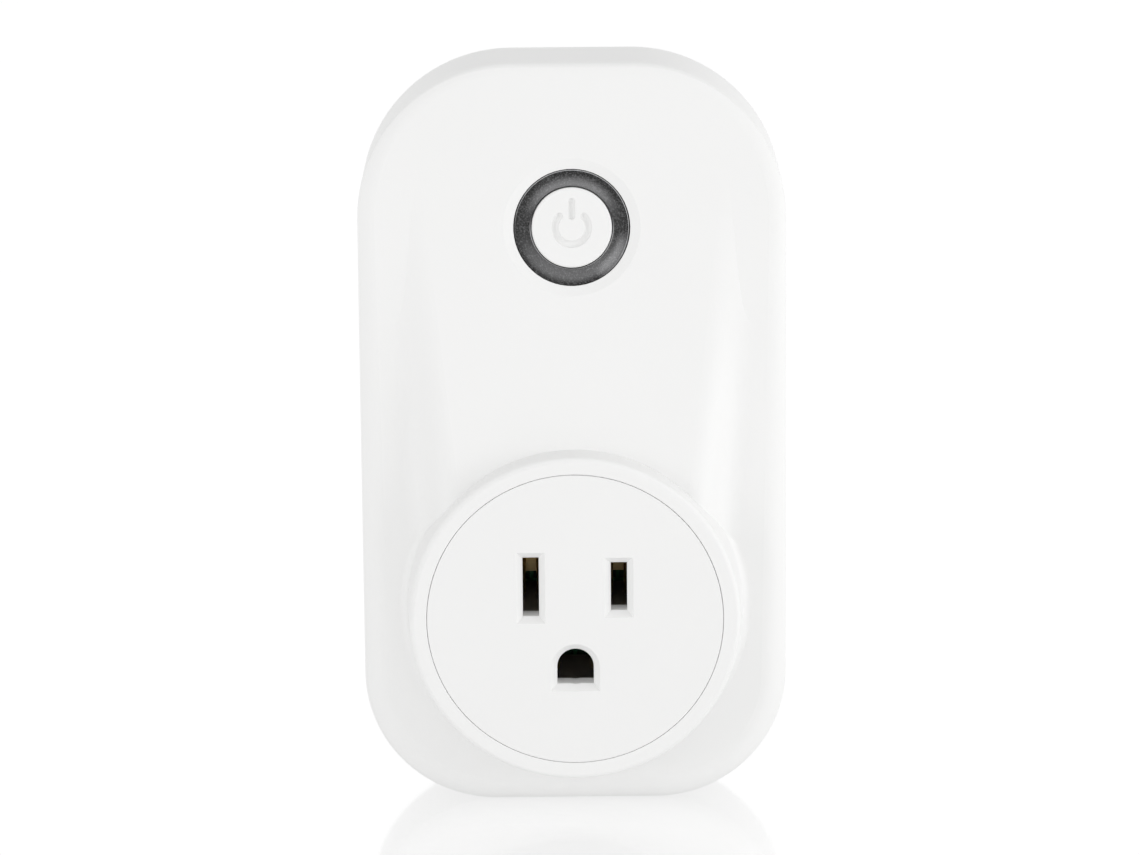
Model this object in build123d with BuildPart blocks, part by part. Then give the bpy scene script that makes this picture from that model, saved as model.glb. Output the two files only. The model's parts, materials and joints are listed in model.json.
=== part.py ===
"""Plug-in smart switch for a NEMA 5-15 outlet: a tall moulded body with a round socket below and a
ringed push button above.

Frame, in millimetres: X to the right seen from the front, Y towards the wall, Z up. The origin is on
the flat rear face, which lies against the wall plate, midway between the two plug blades. A depth is
a distance in front of that wall plane, so the depth d lies at Y = -d.
"""

from build123d import *
import os
from math import atan2, cos, degrees, radians, sin, tan

os.makedirs("parts", exist_ok=True)

# ---- body -------------------------------------------------------------------------------------
body_width = 61.5
body_height = 109.0
blade_line_height = 34.75  # from the flat bottom of the body up to the line of the two blades
top_corner_radius = 22.0
bottom_corner_radius = 19.5
wall = 2.0
seam_depth = 9.0  # where the rear cover meets the front housing
top_edge_depth = 24.7  # front face at the top edge, where the ramp starts
slab_depth = 28.5  # front face beside the ridge and round the boss
front_bend_radius = 150.0  # soft bend between the ramp and that face
ridge_end_depth = 36.11  # front of the ridge at the height of the boss's centre
edge_rounding = 4.0
edge_flare = 2.0  # how far the rounding's outline leaves the body's own at the top
edge_break = 1.2  # small rounding of the edge that is left there
ridge_half_top_start = 21.7  # flat half width of the ridge where it leaves the ramp
ridge_half_foot_start = 27.1
ridge_half_top_end = 14.5  # the same where it ends inside the boss
ridge_half_foot_end = 23.5
cover_inset = 0.35  # shadow step of the rear cover at the seam
cover_draft = 9.5
cover_edge_rounding = 1.2
lip_thickness = 0.9
lip_height = 1.3
lip_clearance = 0.1

# ---- socket -----------------------------------------------------------------------------------
socket_depth = 37.0  # front of the socket face
boss_centre_drop = 4.7  # centre of the round boss below the blade line
boss_radius = 23.8
boss_draft = 4.0
boss_edge_rounding = 0.7
boss_foot_rounding = 1.2
boss_front_wall = 2.2
socket_radius = 21.35
socket_seam = 0.06
socket_edge_rounding = 0.1
socket_thickness = 4.0
socket_flange = 0.95
socket_flange_clearance = 0.25
blade_spacing = 12.7
ground_drop = 11.89  # ground pin below the blade line
slot_width = 2.35
neutral_slot_height = 8.7
hot_slot_height = 7.1
ground_hole_width = 5.28
ground_hole_height = 5.2
slot_chamfer_width = 1.0
slot_chamfer_depth = 0.9
slot_margin = 0.3  # the carrier's openings around those of the socket face

# ---- plug -------------------------------------------------------------------------------------
blade_thickness = 1.52
hot_blade_height = 6.35
neutral_blade_height = 7.92
blade_length = 17.5
blade_tip_chamfer = 1.4
blade_hole_radius = 1.6
blade_hole_distance = 11.9
blade_shoulder = 1.3  # how far the flange stands out beyond the blade's edges
blade_flange_thickness = 1.2
blade_tail_height = 4.0
tail_length = 1.2  # past the front of the main board
ground_pin_radius = 2.4
ground_pin_length = 20.5
ground_collar_radius = 2.75  # where the pin passes through the rear cover
ground_flange_radius = 3.6
ground_tail_radius = 1.2
plug_base_width = 17.2
plug_base_height = 28.0
plug_base_z = -5.0
plug_base_rounding = 2.0
blade_tip_bevel = 0.35
ground_nose_length = 2.4
ground_nose_radius = 0.9
pin_clearance = 0.05
fit_clearance = 0.1

# ---- boards and fasteners ---------------------------------------------------------------------
standoff_height = 3.0
standoff_radius = 2.6
board_thickness = 1.6
board_gap = 1.6  # main board edge to the inside of the rear cover
standoff_x = 22.5
standoff_low_z = 3.0
standoff_high_z = 41.0
screw_pillar_radius = 3.6
screw_pillar_gap = 0.6
low_screw_x = 21.5
low_screw_height = 12.0  # above the flat bottom
high_screw_x = 20.0
high_screw_drop = 12.0  # below the top
pillar_top_depth = 8.0
screw_boss_radius = 3.2
screw_radius = 1.4
screw_head_radius = 2.8
screw_head_height = 1.8
screw_length = 12.0
screw_hole_clearance = 0.2
screw_recess_depth = 3.6
board_screw_radius = 1.0
board_screw_head_radius = 1.9
board_screw_head_height = 1.1
board_screw_length = 4.2
rib_thickness = 1.2
rib_start_depth = 14.5

# ---- button -----------------------------------------------------------------------------------
button_drop = 23.25  # button centre below the top
dish_radius = 9.85
dish_depth = 0.45
ring_radius = 8.3
ring_clearance = 0.1
ring_inner_radius = 5.92
ring_flange_radius = 9.7
ring_flange_thickness = 1.2
light_guide_radius = 7.0
light_guide_gap = 0.3  # end of the light guide to the lamps
cap_radius = 5.77
cap_proud = 0.2  # cap face in front of the ring
cap_edge_rounding = 0.3
cap_wall = 1.2
cap_flange_radius = 6.7
cap_flange_thickness = 1.0
cap_stem_radius = 1.5
button_clearance = 0.06
button_travel = 0.3
switch_height = 4.3
switch_body_height = 3.1
switch_size = 6.0
switch_cover_thickness = 0.3
plunger_radius = 1.7
plunger_collar_radius = 2.2
plunger_collar_height = 0.6
switch_leg_width = 0.7
button_board_thickness = 1.2
button_board_width = 24.0
button_board_half_height = 15.6
button_screw_offset = 12.6
button_post_radius = 2.4
led_ring_radius = 7.6
led_length = 1.6
led_width = 0.8
led_height = 0.7
led_angles = (45, 135, 225, 315)
ring_edge_rounding = 0.15
switch_leg_thickness = 0.3
dome_radius = 2.3
dome_well_radius = 2.5
dome_height = 0.5
dome_thickness = 0.12
board_corner_radius = 1.5

# ---- socket contacts --------------------------------------------------------------------------
carrier_half_width = 16.5
carrier_top = 11.0
carrier_bottom = -20.0
carrier_rounding = 3.0
carrier_front_wall = 1.2
carrier_back_depth = 12.0
carrier_leg_radius = 1.7
carrier_leg_inset = 2.4
pocket_width = 8.2
pocket_height = 10.6
ground_pocket = 9.4
contact_strip = 0.6
contact_height = 6.4
contact_back_depth = 13.6
contact_front_depth = 31.0
contact_half_spread = 2.9
contact_half_grip = 1.05
contact_half_mouth = 1.9
contact_grip_depth = 26.5
contact_bend = 0.8
contact_grip_rise = 3.0  # straight foot of each leaf before it leans in
contact_tab_proud = 0.6
contact_tab_width = 3.0
ground_half_grip = 2.55
ground_half_mouth = 3.2
ground_half_spread = 3.6
ground_contact_height = 5.0

# ---- relay ------------------------------------------------------------------------------------
relay_x = -15.2
relay_z = 23.2
relay_width = 15.4
relay_length = 19.0
relay_height = 12.5
relay_wall = 0.8
relay_base_thickness = 1.5
yoke_thickness = 1.2
yoke_width = 9.0
yoke_end_gap = 0.5
yoke_height = 8.5
core_radius = 2.2
core_offset = 5.5  # core axis from the inner face of the yoke
pole_radius = 3.4
pole_thickness = 0.8
armature_thickness = 1.0
armature_gap = 0.6
coil_radius = 4.9
bobbin_flange = 0.8
bobbin_tube = 0.7
leaf_thickness = 0.25
leaf_width = 6.0
contact_radius = 1.4
contact_button_height = 0.8
contact_reach = 13.4  # contact axis from the hinge line
contact_open_gap = 1.02
fixed_strip_thickness = 0.6
relay_pin_radius = 0.45
relay_pin_clearance = 0.05
relay_pin_x = 5.4
relay_pin_setback = 1.0  # contact pins below the fixed contact's strip
leaf_setback = 1.5
fixed_button_height = 0.5

# ---- power supply and control parts ----------------------------------------------------------
lead_radius = 0.3
lead_length = 1.4  # past the back of the main board
lead_stand_off = 1.0
film_cap_rounding = 0.5
varistor_rounding = 1.2
fuse_lead_run = 1.0
fuse_cap_wall = 0.25
can_groove = 0.4
can_groove_share = 0.16
winding_gap = 0.3
winding_rounding = 1.4
chip_leg_thickness = 0.2
chip_leg_reach = 0.9
chip_leg_width = 0.45
choke_flange = 0.8
wifi_shield_edge = 0.6
film_cap_size = (6.0, 13.0)
film_cap_height = 11.0
film_cap_place = (-2.6, 20.5)
film_cap_pitch = 10.0
varistor_radius = 4.2
varistor_thickness = 3.6
varistor_place = (20.8, -9.5)
varistor_pitch = 5.0
fuse_radius = 1.8
fuse_length = 9.0
fuse_cap_length = 2.0
fuse_place = (20.8, 11.8)
fuse_lift = 0.5
bulk_cap_radius = 4.0
bulk_cap_length = 12.0
bulk_cap_low_place = (12.6, 31.2)
bulk_cap_step = 8.6
output_cap_radius = 3.15
output_cap_height = 7.5
output_cap_place = (2.8, 31.0)
transformer_place = (10.6, 20.0)
transformer_width = 11.4
transformer_core_thickness = 5.0
transformer_height = 10.4
transformer_leg = 2.0
transformer_centre_leg = 3.0
bobbin_size = 10.6
rectifier_size = (4.8, 6.4)
rectifier_height = 2.5
rectifier_place = (-3.8, 32.4)
chip_size = (3.9, 4.9)
chip_height = 1.55
chip_place = (0.0, -2.5)
chip_pitch = 1.27
regulator_size = (6.5, 3.5)
regulator_height = 1.6
regulator_place = (0.0, 5.5)
choke_radius = 3.0
choke_height = 6.0
choke_x = -17.5
choke_drop = 27.0  # below the top
wifi_board_size = (15.0, 18.0)
wifi_board_thickness = 0.8
wifi_x = -1.4
wifi_drop = 17.6  # below the top
wifi_shield_size = (12.0, 12.0)
wifi_shield_height = 2.4
wifi_shield_wall = 0.2
link_pin_size = 0.6
link_pin_pitch = 2.54
link_pin_count = 4
link_x = -10.6  # a column beside the button
link_spacer_height = 2.5
link_hole_radius = 0.6
link_pin_proud = 1.0

# ---- worked out from the sizes above -----------------------------------------------------------
top_z = body_height - blade_line_height
bottom_z = -blade_line_height
boss_z = -boss_centre_drop
slope = (ridge_end_depth - top_edge_depth) / (top_z - boss_z)
ramp_angle = degrees(atan2(slope, 1))
button_height = top_z - button_drop
choke_place = (choke_x, top_z - choke_drop)
wifi_place = (wifi_x, top_z - wifi_drop)
half_spacing = blade_spacing / 2
board_back_depth = wall + standoff_height
board_front_depth = board_back_depth + board_thickness
socket_back_depth = socket_depth - socket_thickness
boss_ring_back_depth = socket_depth - boss_front_wall
low_screw_z = bottom_z + low_screw_height
high_screw_z = top_z - high_screw_drop
case_screw_places = [
    (-low_screw_x, low_screw_z),
    (low_screw_x, low_screw_z),
    (-high_screw_x, high_screw_z),
    (high_screw_x, high_screw_z),
]
standoff_places = [
    (-standoff_x, standoff_low_z),
    (standoff_x, standoff_low_z),
    (-standoff_x, standoff_high_z),
    (standoff_x, standoff_high_z),
]
hinge_z = (
    relay_z
    - relay_length / 2
    + relay_wall
    + relay_pin_clearance
    + yoke_end_gap
    + yoke_thickness
)
strip_z = relay_z + relay_length / 2 - relay_wall - relay_pin_clearance - fixed_strip_thickness / 2
relay_pin_places = [
    (relay_x + x, z)
    for x in (-relay_pin_x, relay_pin_x)
    for z in (hinge_z, strip_z - relay_pin_setback)
]
link_places = [
    (link_x, button_height + (index - (link_pin_count - 1) / 2) * link_pin_pitch)
    for index in range(link_pin_count)
]
rear_plane = Plane(origin=(0, 0, 0), x_dir=(-1, 0, 0), z_dir=(0, 1, 0))


def ramp_depth(z, inset=0.0):
    """Depth of the ramp plane at height z, for a skin drawn in by inset."""
    return top_edge_depth - inset / cos(radians(ramp_angle)) + (top_z - z) * slope


ramp_normal = (0, -cos(radians(ramp_angle)), sin(radians(ramp_angle)))
ramp_plane = Plane(origin=(0, -top_edge_depth, top_z), x_dir=(1, 0, 0), z_dir=ramp_normal)
face_plane = Plane(
    origin=(0, -ramp_depth(button_height), button_height), x_dir=(1, 0, 0), z_dir=ramp_normal
)
button_axis = Axis(face_plane.origin, face_plane.z_dir)

ring_face = -dish_depth
cap_face = ring_face + cap_proud
ring_back = -wall - ring_flange_thickness
cap_flange_front = ring_back - button_clearance
cap_back = cap_flange_front - cap_flange_thickness
stem_end = cap_back - button_travel - 2 * button_clearance
plunger_end = stem_end - button_clearance
button_board_front = plunger_end - switch_height
button_board_back = button_board_front - button_board_thickness


# ---- shared shapes ------------------------------------------------------------------------------
def at_depth(depth):
    """Sketch plane that faces forward, depth millimetres in front of the wall plane."""
    return Plane.XZ.offset(depth)


def body_outline(depth, inset):
    """Body outline seen from the front, drawn in by inset: large corners above, smaller below."""
    with BuildSketch(at_depth(depth)) as outline:
        with Locations((0, (top_z + bottom_z) / 2)):
            Rectangle(body_width - 2 * inset, body_height - 2 * inset)
        fillet(outline.vertices().group_by(Axis.Y)[-1], top_corner_radius - inset)
        fillet(outline.vertices().group_by(Axis.Y)[0], bottom_corner_radius - inset)
    return outline.sketch


def flared_outline(inset):
    """Outline at the seam that meets the body's own at the foot and leaves it towards the top."""
    half_foot = body_width / 2 - inset
    half_top = half_foot + edge_flare
    foot = bottom_z + inset
    top = top_z - inset + edge_flare
    with BuildSketch(at_depth(seam_depth)) as outline:
        with BuildLine():
            Polyline((-half_foot, foot), (half_foot, foot), (half_top, top), (-half_top, top), close=True)
        make_face()
        fillet(outline.vertices().group_by(Axis.Y)[-1], top_corner_radius - inset + edge_flare)
        fillet(outline.vertices().group_by(Axis.Y)[0], bottom_corner_radius - inset)
    return outline.sketch


def block(centre, size, low, high, mode=Mode.ADD):
    """Rectangular block between two depths, in the part that is open."""
    with BuildSketch(at_depth(low)) as profile:
        with Locations(centre):
            Rectangle(*size)
    extrude(profile.sketch, amount=high - low, mode=mode)


def post(centres, radius, low, high, mode=Mode.ADD):
    """Round posts, or holes, between two depths, in the part that is open."""
    with BuildSketch(at_depth(low)) as profile:
        with Locations(*centres):
            Circle(radius)
    extrude(profile.sketch, amount=high - low, mode=mode)


def ring_on_face(outer, inner, front, back, mode=Mode.ADD):
    """Ring, or disc if inner is 0, about the button's axis between two heights on the ramp face."""
    with BuildSketch(face_plane.offset(back)) as profile:
        Circle(outer)
        if inner:
            Circle(inner, mode=Mode.SUBTRACT)
    extrude(profile.sketch, amount=front - back, mode=mode)


def finish(part, name):
    """Label a piece and write it out."""
    part.label = name
    export_step(part, f"parts/{name}.step")


# ---- front housing: the moulded shell with the ramp, the ridge and the round boss ------------------
def ridge_section(z, half_top, half_foot, top, foot, root):
    """Section of the ridge across the body: flat on top, with sides that run out on the slab."""
    with BuildSketch(Plane.XY.offset(z)) as section:
        with BuildLine():
            Line((-half_top, -top), (half_top, -top))
            Spline((half_top, -top), (half_foot, -foot), tangents=[(1, 0), (1, 0)])
            Polyline(
                (half_foot, -foot), (half_foot, -root), (-half_foot, -root), (-half_foot, -foot)
            )
            Spline((-half_foot, -foot), (-half_top, -top), tangents=[(1, 0), (1, 0)])
        make_face()
    return section.sketch


def bend_height(inset):
    """Height at which the ramp plane and the slab face would meet in a corner."""
    return top_z - (slab_depth - inset - ramp_depth(top_z, inset)) / slope


def sloped_form(outline, inset, rounding):
    """Prism of an outline from the seam to the slab face, the bend and the ramp, its front rounded."""
    front = slab_depth - inset
    corner = bend_height(inset)
    high = top_z + socket_depth
    low = bottom_z - socket_depth
    with BuildSketch(Plane.YZ) as side_view:
        with BuildLine():
            Polyline(
                (-seam_depth, low),
                (-front, low),
                (-front, corner),
                (-ramp_depth(high, inset), high),
                (-seam_depth, high),
                close=True,
            )
        make_face()
        fillet(side_view.vertices().sort_by_distance((-front, corner, 0))[0], front_bend_radius)
    with BuildPart() as stock:
        extrude(side_view.sketch, amount=body_width, both=True)
    with BuildPart() as form:
        extrude(outline, amount=2 * socket_depth)
        add(stock.part, mode=Mode.INTERSECT)
        walls = form.faces().filter_by(lambda face: abs(face.normal_at().Y) < sin(radians(1)))
        rim = walls.edges().filter_by(Axis.Y, reverse=True)
        fillet(rim.filter_by_position(Axis.Y, -2 * socket_depth, -seam_depth - wall), rounding)
    return form.part


def moulded_form(inset):
    """Body of the front housing without its boss, drawn in by inset on every side."""
    slab_front = slab_depth - inset
    root = slab_front - edge_rounding
    bend_reach = front_bend_radius * tan(radians(ramp_angle / 2))
    ridge_start = bend_height(inset) + bend_reach
    ridge_middle = bend_height(inset) - bend_reach
    share = (ridge_start - ridge_middle) / (ridge_start - boss_z)
    half_top = ridge_half_top_start + (ridge_half_top_end - ridge_half_top_start) * share
    half_foot = ridge_half_foot_start + (ridge_half_foot_end - ridge_half_foot_start) * share
    start_depth = ramp_depth(ridge_start, inset)
    with BuildPart() as form:
        add(sloped_form(flared_outline(inset), inset, edge_rounding - inset))
        edge_form = sloped_form(body_outline(seam_depth, inset), inset, edge_break)
        add(edge_form, mode=Mode.INTERSECT)
        start = ridge_section(
            ridge_start,
            ridge_half_top_start - inset,
            ridge_half_foot_start - inset,
            start_depth,
            start_depth,
            root,
        )
        middle = ridge_section(
            ridge_middle,
            half_top - inset,
            half_foot - inset,
            ramp_depth(ridge_middle, inset),
            slab_front,
            root,
        )
        end = ridge_section(
            boss_z,
            ridge_half_top_end - inset,
            ridge_half_foot_end - inset,
            ramp_depth(boss_z, inset),
            slab_front,
            root,
        )
        loft([start, middle, end], ruled=True)
    return form.part


outer_form = moulded_form(0)
inner_form = moulded_form(wall)

boss_axis = Axis((0, 0, boss_z), (0, -1, 0))
boss_root_depth = slab_depth - wall
boss_foot_depth = slab_depth + boss_foot_rounding
boss_foot_radius = boss_radius + (socket_depth - boss_foot_depth) * tan(radians(boss_draft))
boss_spread = boss_foot_radius + boss_foot_rounding
flange_radius = socket_radius + socket_flange
flange_bore_radius = flange_radius + socket_flange_clearance

with BuildPart() as screw_bosses:
    post(case_screw_places, screw_boss_radius, pillar_top_depth, socket_depth)
    for x, z in case_screw_places:
        side = 1 if x > 0 else -1
        block(
            (x + side * screw_boss_radius * 2, z),
            (screw_boss_radius * 4, rib_thickness),
            rib_start_depth,
            socket_depth,
        )
    add(moulded_form(wall / 2), mode=Mode.INTERSECT)
    post(case_screw_places, screw_boss_radius, pillar_top_depth, seam_depth)

with BuildPart() as front_housing:
    add(outer_form)
    with BuildSketch(Plane.YZ):
        with BuildLine():
            rounding_start = (-slab_depth, boss_z + boss_spread)
            rounding_end = (-boss_foot_depth, boss_z + boss_foot_radius)
            Polyline(
                (-socket_depth, boss_z),
                (-boss_root_depth, boss_z),
                (-boss_root_depth, boss_z + boss_spread),
                rounding_start,
            )
            TangentArc(rounding_start, rounding_end, tangent=(0, -1))
            Polyline(rounding_end, (-socket_depth, boss_z + boss_radius), (-socket_depth, boss_z))
        make_face()
    revolve(axis=boss_axis)
    boss_rim = front_housing.faces().sort_by(Axis.Y)[0].edges()
    fillet(boss_rim, boss_edge_rounding)
    add(inner_form, mode=Mode.SUBTRACT)
    post([(0, boss_z)], flange_bore_radius, seam_depth, boss_ring_back_depth, mode=Mode.SUBTRACT)
    socket_bore = socket_radius + socket_seam
    post([(0, boss_z)], socket_bore, boss_ring_back_depth, socket_depth, mode=Mode.SUBTRACT)
    front_circles = front_housing.faces().sort_by(Axis.Y)[0].edges().sort_by(SortBy.RADIUS)
    fillet(front_circles[0], socket_edge_rounding)
    # half-lap at the seam, which the cover's lip enters
    extrude(
        body_outline(seam_depth, wall - lip_thickness - lip_clearance),
        amount=lip_height + lip_clearance,
        mode=Mode.SUBTRACT,
    )
    add(screw_bosses.part)
    post(
        case_screw_places,
        screw_radius,
        pillar_top_depth,
        pillar_top_depth + screw_length,
        mode=Mode.SUBTRACT,
    )
    # shallow dish and the hole for the light ring
    with BuildSketch(face_plane):
        Circle(dish_radius)
    with BuildSketch(face_plane.offset(-dish_depth)):
        Circle(ring_radius + ring_clearance)
    loft(mode=Mode.SUBTRACT)
    ring_on_face(ring_radius + ring_clearance, 0, 0, -2 * wall, mode=Mode.SUBTRACT)
    # posts for the button board
    with BuildSketch(face_plane.offset(button_board_front)) as button_posts:
        with Locations((0, button_screw_offset), (0, -button_screw_offset)):
            Circle(button_post_radius)
    extrude(button_posts.sketch, amount=-wall / 2 - button_board_front)
    with BuildSketch(face_plane.offset(button_board_front)) as pilot_holes:
        with Locations((0, button_screw_offset), (0, -button_screw_offset)):
            Circle(board_screw_radius)
    pilot_depth = board_screw_length - button_board_thickness
    extrude(pilot_holes.sketch, amount=pilot_depth, mode=Mode.SUBTRACT)
finish(front_housing.part, "front_housing")

# ---- socket face: the round insert with the outlet's openings ------------------------------------
def outlet_openings(depth, margin=0.0):
    """Two blade slots and the ground opening, widened by margin, on the plane at a depth."""
    with BuildSketch(at_depth(depth)) as openings:
        with Locations((-half_spacing, 0)):
            Rectangle(slot_width + 2 * margin, neutral_slot_height + 2 * margin)
        with Locations((half_spacing, 0)):
            Rectangle(slot_width + 2 * margin, hot_slot_height + 2 * margin)
        arch_radius = ground_hole_width / 2 + margin
        straight = ground_hole_height - ground_hole_width / 2 + margin
        with Locations((0, -ground_drop)):
            Circle(arch_radius)
        with Locations((0, -ground_drop - straight / 2)):
            Rectangle(2 * arch_radius, straight)
    return openings.sketch


with BuildPart() as socket_face:
    post([(0, boss_z)], flange_radius, socket_back_depth, boss_ring_back_depth)
    post([(0, boss_z)], socket_radius, socket_back_depth, socket_depth)
    fillet(socket_face.faces().sort_by(Axis.Y)[0].edges(), socket_edge_rounding)
    extrude(outlet_openings(socket_back_depth), amount=socket_thickness, mode=Mode.SUBTRACT)
    front_face = socket_face.faces().sort_by(Axis.Y)[0]
    opening_edges = ShapeList([edge for wire in front_face.inner_wires() for edge in wire.edges()])
    chamfer(opening_edges, slot_chamfer_depth, slot_chamfer_width, reference=front_face)
finish(socket_face.part, "socket_face")

# ---- contact carrier: the insulating block behind the socket face ---------------------------------
carrier_height = carrier_top - carrier_bottom
carrier_centre = (0, (carrier_top + carrier_bottom) / 2)
carrier_leg_x = carrier_half_width - carrier_leg_inset
leg_places = [
    (x, z)
    for x in (-carrier_leg_x, carrier_leg_x)
    for z in (carrier_bottom + carrier_leg_inset, carrier_top - carrier_leg_inset)
]
pocket_front = socket_back_depth - carrier_front_wall

with BuildPart() as contact_carrier:
    with BuildSketch(at_depth(carrier_back_depth)):
        with Locations(carrier_centre):
            RectangleRounded(2 * carrier_half_width, carrier_height, carrier_rounding)
    extrude(amount=socket_back_depth - carrier_back_depth)
    post(leg_places, carrier_leg_radius, board_front_depth, carrier_back_depth)
    for x in (-half_spacing, half_spacing):
        block((x, 0), (pocket_width, pocket_height), carrier_back_depth, pocket_front, mode=Mode.SUBTRACT)
    block(
        (0, -ground_drop),
        (ground_pocket, ground_pocket),
        carrier_back_depth,
        pocket_front,
        mode=Mode.SUBTRACT,
    )
    extrude(
        outlet_openings(pocket_front, slot_margin),
        amount=carrier_front_wall,
        mode=Mode.SUBTRACT,
    )
finish(contact_carrier.part, "contact_carrier")

# ---- socket contacts: folded brass strips --------------------------------------------------------


def contact_clip(x, z, back, spread, grip, mouth, height):
    """Strip folded to a U, pinched towards its mouth and flared to lead a blade or pin in."""
    with BuildSketch(Plane.XY.offset(z - height / 2)) as strip:
        with BuildLine():
            FilletPolyline(
                (x - mouth, -contact_front_depth),
                (x - grip, -contact_grip_depth),
                (x - spread, -back - contact_grip_rise),
                (x - spread, -back),
                (x + spread, -back),
                (x + spread, -back - contact_grip_rise),
                (x + grip, -contact_grip_depth),
                (x + mouth, -contact_front_depth),
                radius=contact_bend,
            )
        trace(line_width=contact_strip)
    extrude(strip.sketch, amount=height)


def blade_contact(side):
    """Contact behind one blade slot, with a tab that goes back through the main board."""
    x = side * half_spacing
    with BuildPart() as contact:
        contact_clip(
            x,
            0,
            contact_back_depth,
            contact_half_spread,
            contact_half_grip,
            contact_half_mouth,
            contact_height,
        )
        block(
            (x + side * contact_half_spread, 0),
            (contact_strip, contact_tab_width),
            board_back_depth - contact_tab_proud,
            contact_back_depth + contact_grip_rise,
        )
    return contact.part


neutral_contact = blade_contact(-1)
finish(neutral_contact, "neutral_contact")
hot_contact = blade_contact(1)
finish(hot_contact, "hot_contact")

with BuildPart() as ground_contact:
    contact_clip(
        0,
        -ground_drop,
        board_front_depth + contact_strip / 2,
        ground_half_spread,
        ground_half_grip,
        ground_half_mouth,
        ground_contact_height,
    )
    post(
        [(0, -ground_drop)],
        ground_tail_radius + pin_clearance,
        board_front_depth,
        board_front_depth + 2 * contact_strip,
        mode=Mode.SUBTRACT,
    )
finish(ground_contact.part, "ground_contact")

# ---- plug: two blades and the ground pin ---------------------------------------------------------
tail_end_depth = board_front_depth + tail_length
flange_depth = wall + blade_flange_thickness


def plug_blade(side, height):
    """Flat blade with a punched hole, a flange behind the rear face and a tail to the board."""
    with BuildPart() as blade:
        with BuildSketch(Plane.YZ.offset(side * half_spacing - blade_thickness / 2)):
            with Locations(((blade_length - wall) / 2, 0)):
                Rectangle(blade_length + wall, height)
            chamfer(vertices().group_by(Axis.X)[-1], blade_tip_chamfer)
            with Locations((-wall - blade_flange_thickness / 2, 0)):
                Rectangle(blade_flange_thickness, height + 2 * blade_shoulder)
            with Locations((-(wall + tail_end_depth) / 2, 0)):
                Rectangle(tail_end_depth - wall, blade_tail_height)
            with Locations((blade_hole_distance, 0)):
                Circle(blade_hole_radius, mode=Mode.SUBTRACT)
        extrude(amount=blade_thickness)
        tip_edges = blade.faces().sort_by(Axis.Y)[-1].edges().filter_by(Axis.Z)
        chamfer(tip_edges, blade_tip_bevel)
    return blade.part


neutral_blade = plug_blade(-1, neutral_blade_height)
finish(neutral_blade, "neutral_blade")
hot_blade = plug_blade(1, hot_blade_height)
finish(hot_blade, "hot_blade")

with BuildPart() as ground_pin:
    with BuildSketch(Plane(origin=(0, 0, -ground_drop), x_dir=(0, 1, 0), z_dir=(1, 0, 0))):
        with BuildLine():
            nose_start = (ground_pin_length - ground_nose_length, ground_pin_radius)
            nose_end = (ground_pin_length, ground_nose_radius)
            Polyline(
                (ground_pin_length, 0),
                (-tail_end_depth, 0),
                (-tail_end_depth, ground_tail_radius),
                (-flange_depth, ground_tail_radius),
                (-flange_depth, ground_flange_radius),
                (-wall, ground_flange_radius),
                (-wall, ground_collar_radius),
                (0, ground_collar_radius),
                (0, ground_pin_radius),
                nose_start,
            )
            TangentArc(nose_start, nose_end, tangent=(1, 0))
            Line(nose_end, (ground_pin_length, 0))
        make_face()
    revolve(axis=Axis((0, 0, -ground_drop), (0, 1, 0)))
finish(ground_pin.part, "ground_pin")

with BuildPart() as plug_base:
    with BuildSketch(at_depth(wall)):
        with Locations((0, plug_base_z)):
            RectangleRounded(plug_base_width, plug_base_height, plug_base_rounding)
    extrude(amount=standoff_height)
    for side, height in ((-1, neutral_blade_height), (1, hot_blade_height)):
        flange_height = height + 2 * blade_shoulder + 2 * fit_clearance
        pocket = (blade_thickness + 2 * fit_clearance, flange_height)
        block((side * half_spacing, 0), pocket, wall, flange_depth, mode=Mode.SUBTRACT)
        tail_slot = (blade_thickness + 2 * fit_clearance, blade_tail_height + 2 * fit_clearance)
        block((side * half_spacing, 0), tail_slot, wall, board_back_depth, mode=Mode.SUBTRACT)
    pin_place = [(0, -ground_drop)]
    post(pin_place, ground_flange_radius + fit_clearance, wall, flange_depth, mode=Mode.SUBTRACT)
    post(pin_place, ground_tail_radius + fit_clearance, wall, board_back_depth, mode=Mode.SUBTRACT)
finish(plug_base.part, "plug_base")

# ---- rear cover: the tray that carries the plug and the main board --------------------------------
cover_wall_height = seam_depth - wall

with BuildPart() as cover_lip:
    extrude(body_outline(seam_depth, wall - lip_thickness), amount=lip_height, both=True)
    extrude(body_outline(seam_depth, wall), amount=lip_height, mode=Mode.SUBTRACT)
    lip_root_bore = body_outline(seam_depth, wall + cover_inset)
    extrude(lip_root_bore, amount=-lip_height, mode=Mode.SUBTRACT)

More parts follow.
